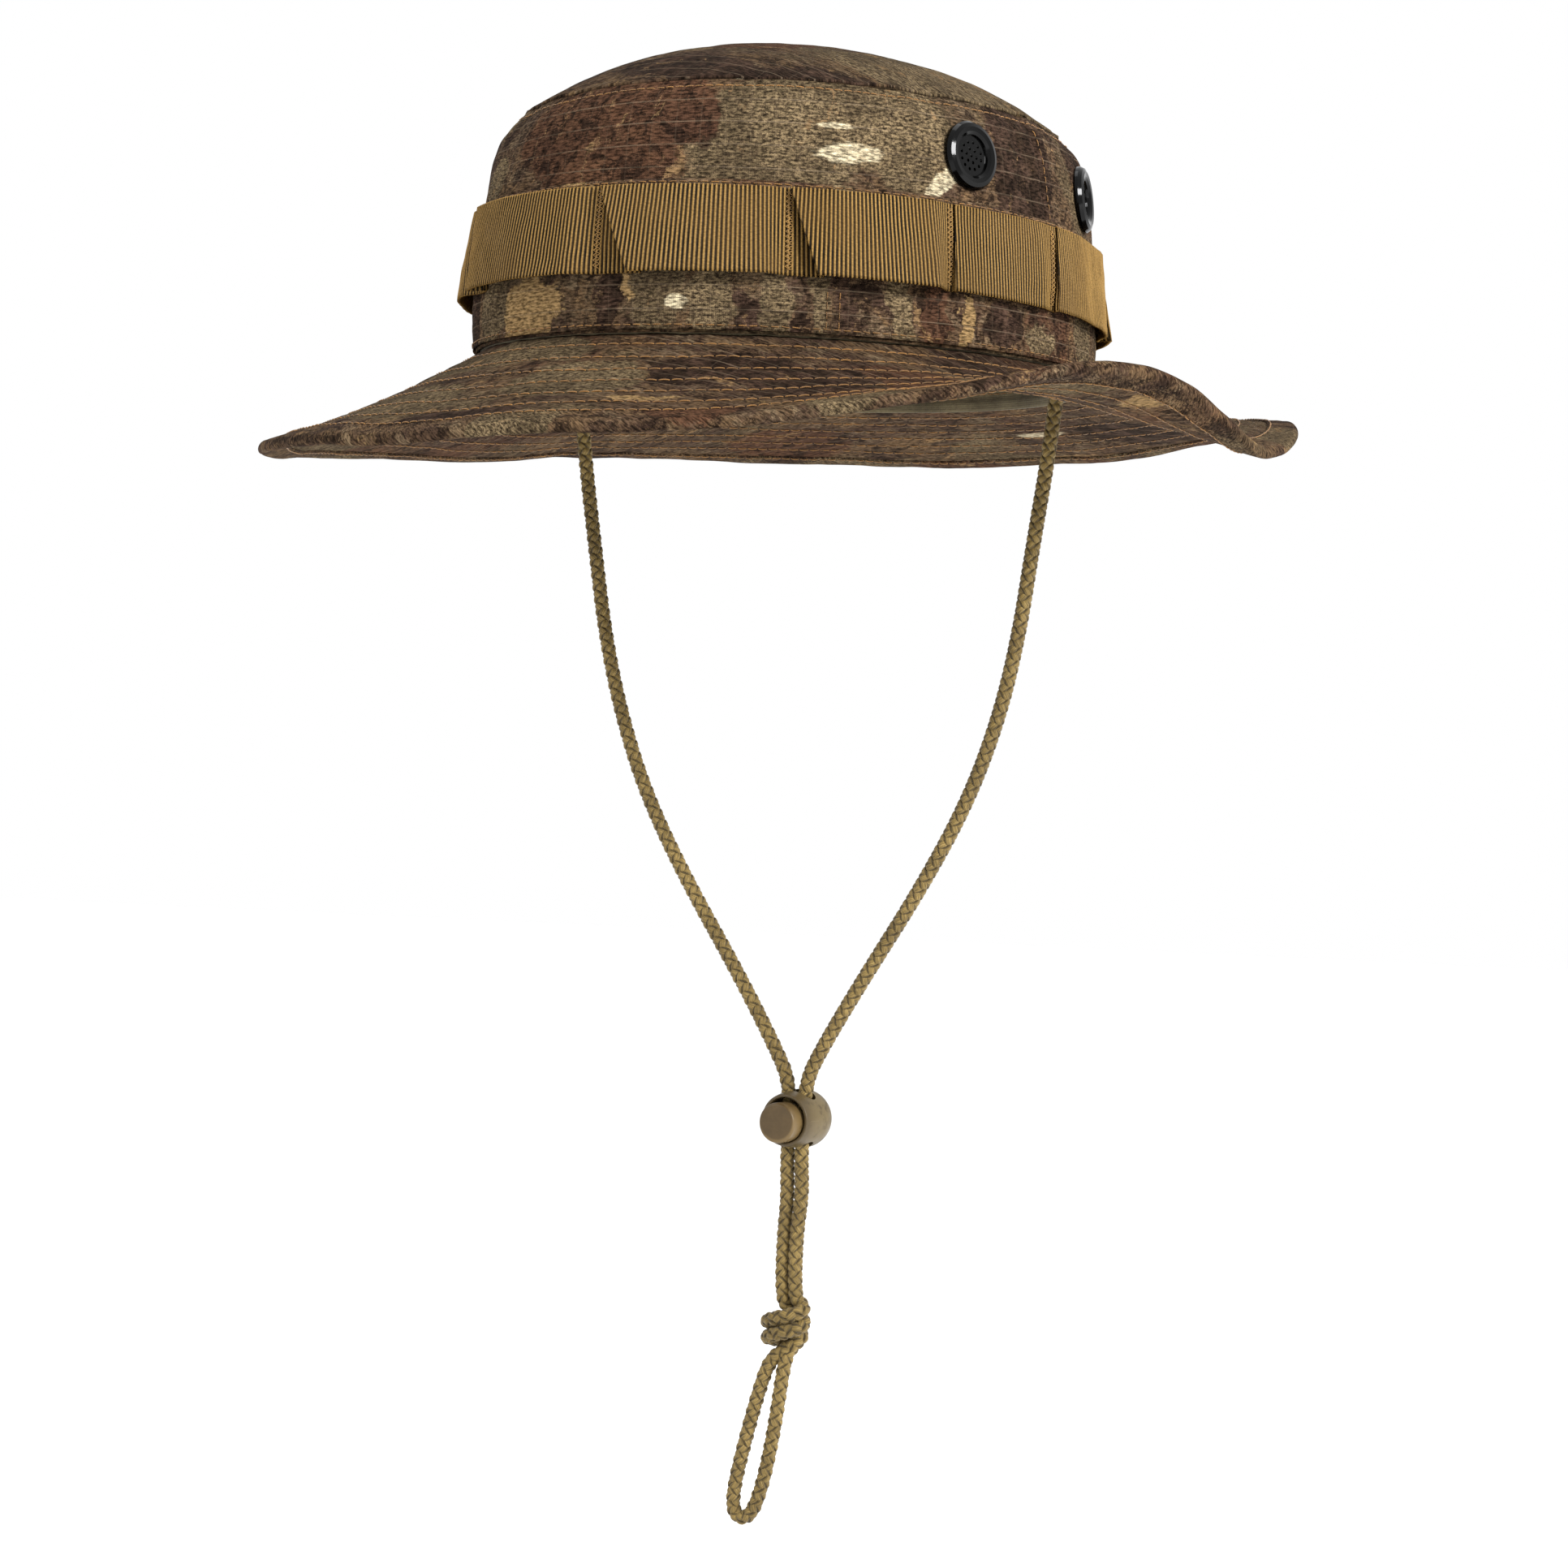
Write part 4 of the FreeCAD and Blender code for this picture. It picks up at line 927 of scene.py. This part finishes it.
def binding(name):
    """Strip of cloth folded over the brim's edge, puckered a little along the fold."""
    fold = np.linspace(math.pi / 2, -math.pi / 2, 13)[1:-1]
    reach = np.linspace(BINDING_START, 1.0, 9)
    round_step, round_up = np.cos(fold), np.sin(fold)

    def section(radius, middle):
        step = np.concatenate([reach, 1.0 + round_step * radius / BRIM_WIDTH, reach[::-1]])
        up = np.concatenate([np.full(9, middle + radius), middle + round_up * radius,
                             np.full(9, middle - radius)])
        return step[:, None], up[:, None]

    angles = 0.5 * np.arange(720)[None, :]
    middle = -1.2 * MM
    outer_step, outer_up = section(1.9 * MM, middle)
    inner_step, inner_up = section(1.3 * MM, middle)
    rows = np.arange(len(outer_up))[:, None]
    slant = angles + rows * 0.55
    pucker = 0.08 * MM * noise_at(oval(slant, 60 * MM, 0.0), (260, 260, 0), 31)
    pucker = pucker * np.sign(outer_up - middle)
    front = brim_point(angles, outer_step, outer_up + pucker)
    back = brim_point(angles, inner_step, inner_up)
    length = arc(0.5 * np.arange(721)) * 1.6
    across = np.linalg.norm(np.diff(front[:, 0], axis=0), axis=1)
    across = np.concatenate([[0.0], np.cumsum(across)])
    u, v = np.meshgrid(length, across)
    turned = np.stack([(u + v) * 0.7071, (v - u) * 0.7071], axis=-1)
    return sheet_mesh(name, front, back, turned, BINDING_CLOTH, closed=True)


def brim_pieces():
    upper = brim_sheet("brim_upper_cloth", 0.0, -0.6 * MM, 0.5 * MM, 720, 72, BRIM_CLOTH)
    stand_for(upper, "hat", ["brim_upper"])
    felt = woven("interlining", "b9b2a0", "a39c89", 0.0008)
    middle = brim_sheet("brim_interlining_felt", -0.7 * MM, -1.7 * MM, 0.0, 360, 12, felt)
    stand_for(middle, "hat", ["brim_interlining"])
    lower = brim_sheet("brim_lower_cloth", -1.8 * MM, -2.4 * MM, -0.4 * MM, 720, 72, UNDER_CLOTH)
    stand_for(lower, "hat", ["brim_lower"])
    stand_for(binding("brim_binding_cloth"), "hat", ["brim_binding"])


def brim_stitches():
    """Rows of topstitching round the brim, on its top and on its underside."""
    def rows(surface, steps, pitch):
        paths = []
        for step in steps:
            stretch = 1 + 0.66 * step
            paths.append(row_of_stitches(surface, step, pitch * MM / stretch, 0.9 * pitch * MM,
                                         0.05 * MM))
        return np.concatenate(paths)

    top = lambda angle, step: brim_point(-angle, step, 0.0)
    edge = lambda angle, step: brim_point(-angle, step, 0.7 * MM)
    under = lambda angle, step: brim_point(angle, step, -2.4 * MM)
    under_edge = lambda angle, step: brim_point(angle, step, -3.1 * MM)
    paths = np.concatenate([rows(top, BRIM_ROWS, 3.6), rows(edge, [0.896], 3.2)])
    piece = tube_mesh("brim_stitches_top", paths, 0.2 * MM, GOLD_THREAD)
    stand_for(piece, "hat", [])
    paths = np.concatenate([rows(under, BRIM_ROWS, 3.6), rows(under_edge, [0.896], 3.2)])
    piece = tube_mesh("brim_stitches_under", paths, 0.2 * MM, GOLD_THREAD)
    stand_for(piece, "hat", [])


# ---------------------------------------------------------------- loop webbing

# each loop from its tack: (angle, how far it stands off in mm, how far its fold leans in mm)
LOOPS = [(-36.0, 3.8, 2.4), (1.7, 3.4, 10.8), (36.0, 4.2, 7.4), (64.6, 1.7, -1.6), (89.7, 1.7, -2.0),
         (126.0, 3.0, -3.0), (155.0, 4.0, 4.0), (190.0, 5.0, 2.0), (226.0, 4.8, -2.5),
         (262.0, 3.4, 3.0), (290.0, 2.3, 3.0)]
TAPE_INSIDE = CLOTH + GAP + 0.4 * MM
TAPE_THICK = 1.0 * MM
RIB = 1.28 * MM


def loop_columns(start, end, stand, lean, share):
    """One loop of the tape: arc lengths and distances off the band, for each row and column.

    The tape lies flat after its tack, then turns back over itself in a leaning fold and
    runs to the next tack in front of that fold.
    """
    run = float(arc(end) - arc(start))
    x = np.concatenate([np.arange(0, 14 * MM, 0.13 * MM), np.arange(14 * MM, run, 0.26 * MM)])
    x = x + 0 * share
    fold = (lean * (1 - share) if lean > 0 else -lean * share) * MM
    rise = (x - 1.5 * MM - fold) / (2.2 * MM)
    out = stand * MM * smooth(rise) * smooth((run - x - 1.0 * MM) / (0.16 * run))
    out = out * (1.35 - 0.85 * share)
    turned = smooth((rise - 0.05) / 0.9) * (1 - smooth((rise - 0.95) * 2.2 * MM / (0.62 * run)))
    return arc(start) + x - 4.4 * MM * turned, out


def webbing(name, material):
    """Ribbed tape tacked to the band, with a loop that folds out after each tack."""
    share = np.linspace(0, 1, 27)[:, None]
    lengths, stands, phases, before = [], [], [], 0
    for i, (start, stand, lean) in enumerate(LOOPS):
        end = LOOPS[i + 1][0] if i + 1 < len(LOOPS) else LOOPS[0][0] + 360.0
        along, out = loop_columns(start, end, stand, lean, share)
        angles = angle_at(along)
        line = oval(angles, crown_offset(0.028) + out, 0.0)
        last = oval(np.array([[end]]), crown_offset(0.028), 0.0) + 0 * line[:, :1]
        steps = np.linalg.norm(np.diff(np.concatenate([line, last], axis=1), axis=1), axis=2)
        cloth = np.concatenate([0 * share, np.cumsum(steps, axis=1)], axis=1)
        ribs = round(float(cloth[:, -1].mean()) / RIB)
        phases.append(before + ribs * cloth[:, :-1] / cloth[:, -1:])
        before += ribs
        lengths.append(along)
        stands.append(out)
    along, out = np.concatenate(lengths, axis=1), np.concatenate(stands, axis=1)
    phase = np.concatenate(phases, axis=1)
    angles = angle_at(along)
    z = tape_bottom(angles) + TAPE_WIDTH * share
    rib = np.cos(2 * math.pi * phase)
    edge = np.where(share < 0.01, -1.0, np.where(share > 0.99, 1.0, 0.0))
    z = z + 0.25 * MM * edge * rib
    wave = crown_wave(angles, np.clip(z, 0, TOP_SEAM))
    ripple = 0.45 * MM * noise_at(oval(angles, 0.0, z), (60, 60, 45), 41) * np.clip(out / (3 * MM), 0, 1)
    base = crown_offset(z) + wave + out + ripple + TAPE_INSIDE
    front = oval(angles, base + TAPE_THICK - 0.15 * MM + 0.17 * MM * rib, z)
    back = oval(angles, base + 0.15 * MM - 0.12 * MM * rib, z)
    u = np.concatenate([phase, np.full((27, 1), before)], axis=1) * RIB
    uv = np.stack([u, TAPE_WIDTH * share + 0 * u], axis=-1)
    return sheet_mesh(name, front, back, uv, material, closed=True)


def tacks(name):
    """Zigzag of thread up the webbing at each tack."""
    paths = []
    for angle, stand, lean in LOOPS:
        for shift, phase in ((-1.5, 0), (-0.6, 1)):
            steps = np.arange(0, 33)
            z = tape_bottom(angle) + (0.9 + 0.35 * phase) * MM + steps * 0.72 * MM
            side = (shift + np.where((steps + phase) % 2 == 0, -0.62, 0.62)) * MM
            where = angle_at(arc(angle) + side)
            paths.append(crown_point(where, z, TAPE_INSIDE + TAPE_THICK + 0.14 * MM))
    return tube_mesh(name, np.array(paths), 0.22 * MM, WEBBING_THREAD, sides=6)


def webbing_pieces():
    stand_for(webbing("loop_webbing_tape", webbing_cloth()), "hat", ["loop_webbing"])
    stand_for(tacks("webbing_tacks_thread"), "hat", ["webbing_tacks"])


# ---------------------------------------------------------------- chin cord

CORD_Y = 15.0
CORD_LEFT = [(85.2, -5.5), (83.4, -22.0), (78.2, -54.0), (74.4, -80.0), (68.5, -105.0),
             (58.5, -131.0), (43.0, -158.0), (23.5, -187.0), (9.6, -209.0), (4.0, -220.0),
             (3.4, -243.0), (4.2, -254.0), (2.4, -267.0), (2.4, -287.0)]
KNOT_UPPER = [(4.4, 16.4, -288.6), (6.6, 13.8, -290.4), (4.6, 10.0, -291.2), (-2.0, 9.6, -292.8),
              (-6.6, 13.0, -294.4), (-6.2, 18.0, -295.4), (-1.4, 21.0, -296.4), (3.4, 19.8, -298.0),
              (2.6, 16.6, -301.0), (-1.6, 15.4, -303.2)]
CORD_LOOP = [(-6.0, -307.0), (-9.2, -315.5), (-13.8, -331.5), (-18.4, -350.5), (-16.8, -357.0),
             (-11.4, -356.2), (-7.4, -346.0), (-3.6, -328.0), (-0.4, -304.5)]
KNOT_LOWER = [(0.8, 17.6, -302.6), (-2.8, 20.2, -301.2), (-6.6, 17.6, -300.2), (-6.2, 12.6, -299.2),
              (-1.4, 9.6, -297.8), (4.4, 10.0, -296.2), (6.8, 14.0, -294.6), (4.2, 17.2, -293.0),
              (0.2, 16.6, -291.0)]
CORD_RIGHT = [(-85.2, -5.5), (-83.4, -22.0), (-78.2, -54.0), (-73.8, -80.0), (-67.2, -105.0),
              (-57.0, -131.0), (-41.0, -158.0), (-20.8, -187.0), (-7.0, -209.0), (-0.9, -220.5),
              (-1.6, -243.0), (-1.0, -256.0), (-2.1, -268.0), (-2.2, -287.0)]


def cord_route():
    """The cord's route from the hat's left side to its right side, in metres."""
    level = lambda points: [(x, CORD_Y, z) for x, z in points]
    route = level(CORD_LEFT) + KNOT_UPPER + level(CORD_LOOP) + KNOT_LOWER + level(CORD_RIGHT[::-1])
    return [Vector(point) * MM for point in route]


def spline_points(route):
    """Points along a smooth NURBS spline that has the route as its control points."""
    curve = bpy.data.curves.new("cord_line", "CURVE")
    curve.dimensions = "3D"
    spline = curve.splines.new("NURBS")
    spline.points.add(len(route) - 1)
    for point, place in zip(spline.points, route):
        point.co = (*place, 1.0)
    spline.order_u = 3
    spline.use_endpoint_u = True
    spline.resolution_u = 24
    holder = bpy.data.objects.new("cord_line", curve)
    bpy.context.scene.collection.objects.link(holder)
    bpy.context.view_layer.update()
    evaluated = holder.evaluated_get(bpy.context.evaluated_depsgraph_get())
    mesh = bpy.data.meshes.new_from_object(evaluated)
    points = np.array([vertex.co[:] for vertex in mesh.vertices])
    bpy.data.objects.remove(holder)
    bpy.data.meshes.remove(mesh)
    return points


def respaced(points, spacing):
    """Points at equal distances along a line, and that line's length."""
    steps = np.linalg.norm(np.diff(points, axis=0), axis=1)
    at_point = np.concatenate([[0.0], np.cumsum(steps)])
    count = int(round(at_point[-1] / spacing)) + 1
    wanted = np.linspace(0, at_point[-1], count)
    spaced = np.stack([np.interp(wanted, at_point, points[:, i]) for i in range(3)], axis=1)
    return spaced, wanted


def carried_frames(points):
    """Sideways directions carried along a line with as little twist as possible."""
    tangents = unit(np.gradient(points, axis=0))
    side = Vector((0, 1, 0))
    sides = []
    for tangent in tangents:
        t = Vector(tangent)
        side = (side - t * side.dot(t)).normalized()
        sides.append(side[:])
    sides = np.array(sides)
    return sides, np.cross(tangents, sides)


def braid(name, material):
    """Round braid of eight strands along the cord, four each way, over two and under two."""
    points, distance = respaced(spline_points(cord_route()), 0.36 * MM)
    side, other = carried_frames(points)
    turn = 2 * math.pi * distance / BRAID_LEAD
    over = np.cos(4 * turn)
    paths, ups, along = [], [], []
    for k in range(4):
        for direction in (1, -1):
            angle = direction * turn + k * math.pi / 2
            radius = 1.12 * MM + direction * 0.60 * MM * over
            out = side * np.cos(angle)[:, None] + other * np.sin(angle)[:, None]
            paths.append(points + out * radius[:, None])
            ups.append(out)
            along.append(distance + (0.0 if direction > 0 else BRAID_LEAD / 8))
    piece = tube_mesh(name, np.array(paths), STRAND, material, sides=8, flatten=0.56,
                      ups=np.array(ups), along=np.array(along))
    return piece, points


def cord_pieces():
    cord, path = braid("chin_cord_braid", braid_yarn())
    stand_for(cord, "chin_cord", ["chin_cord_left", "chin_cord_right", "chin_cord_loop",
                                  "chin_cord_knot"])
    spring_piece()


# ---------------------------------------------------------------- moulded parts


def dress(names, material):
    for name in names:
        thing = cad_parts[name]
        thing.data.materials.clear()
        thing.data.materials.append(material)


def spring_piece():
    """The coil behind the button. The real coil shortens as the button goes in; this one keeps one length.
    """
    low, high = (Vector(corner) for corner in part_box("lock_spring"))
    wire, middle = 0.3 * MM, (low + high) / 2
    turn = np.linspace(0, 4 * 2 * math.pi, 240)
    reach = (high.x - low.x) / 2 - wire
    path = np.stack([middle.x + reach * np.cos(turn),
                     np.linspace(low.y + wire, high.y - wire, turn.size),
                     middle.z + reach * np.sin(turn)], axis=-1)
    spring = tube_mesh("lock_spring_wire", path[None], wire, spring_steel(), sides=8)
    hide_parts("lock_spring")
    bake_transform(spring)
    return spring


def moulded_pieces():
    dress([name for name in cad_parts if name.startswith("vent_")], gloss_plastic())
    dress(["lock_body"], moulded("lock_plastic", "4d4029", "685a3c", "453923", 9.3 * MM, True))
    dress(["lock_plunger"], moulded("button_plastic", "4f3e24", "6f5b39", "44351d", 6.2 * MM, False))


# ---------------------------------------------------------------- stage, light and camera


def stage():
    """Large pale floor under the hat's chin cord."""
    mesh = bpy.data.meshes.new("floor")
    reach = 6.0
    floor_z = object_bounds()[0][2] - 0.06
    corners = [(-reach, -reach, floor_z), (reach, -reach, floor_z),
               (reach, reach, floor_z), (-reach, reach, floor_z)]
    mesh.from_pydata(corners, [], [(0, 1, 2, 3)])
    g = Graph("floor", 0.9)
    grain = g.noise(g.place(), 3.0, 2, 0.5)
    base = g.mix(g.between(grain, 0.3, 0.7), "fefefe", "ffffff")
    mesh.materials.append(g.finish(base, Specular_IOR_Level=0.1))
    floor = bpy.data.objects.new("floor", mesh)
    bpy.context.scene.collection.objects.link(floor)
    floor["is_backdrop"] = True


def soft_light(name, place, target, size, power):
    data = bpy.data.lights.new(name, "AREA")
    data.shape = "DISK"
    data.size = size
    data.energy = power
    lamp = bpy.data.objects.new(name, data)
    lamp.location = place
    aim = Vector(target) - Vector(place)
    lamp.rotation_euler = aim.to_track_quat("-Z", "Y").to_euler()
    bpy.context.scene.collection.objects.link(lamp)


def light():
    world = bpy.data.worlds.new("studio")
    world.use_nodes = True
    sky = world.node_tree.nodes["Background"]
    sky.inputs["Color"].default_value = (1, 1, 1, 1)
    sky.inputs["Strength"].default_value = 1.0
    bpy.context.scene.world = world
    soft_light("key", (2.4, -0.7, 1.1), (0, 0, 0), 0.8, 92)
    soft_light("fill", (-1.7, -1.9, 0.9), (0, 0, 0), 0.9, 15)
    soft_light("top", (-0.3, 0.2, 2.2), (0, 0, 0), 1.2, 7)
    bpy.context.scene.view_settings.view_transform = "Standard"


def camera():
    """Level camera in front of the hat, turned to its left side and rolled a little."""
    around, roll = math.radians(30.0), math.radians(1.5)
    right = Vector((math.cos(around), math.sin(around), 0))
    forward = Vector((-math.sin(around), math.cos(around), 0))
    up = Vector((0, 0, 1))
    place = -1.30 * forward + 0.0021 * right + Vector((0, 0, -0.127))
    rolled_right = right * math.cos(roll) + up * math.sin(roll)
    rolled_up = up * math.cos(roll) - right * math.sin(roll)
    axes = Matrix((rolled_right, rolled_up, -forward)).transposed()
    data = bpy.data.cameras.new("camera")
    data.lens = 96.894
    data.sensor_width = 36.0
    view = bpy.data.objects.new("camera", data)
    view.matrix_world = Matrix.Translation(place) @ axes.to_4x4()
    bpy.context.scene.collection.objects.link(view)
    bpy.context.scene.camera = view


crown_pieces()
label_piece()
crown_stitches()
brim_pieces()
brim_stitches()
webbing_pieces()
cord_pieces()
moulded_pieces()
stage()
light()
camera()
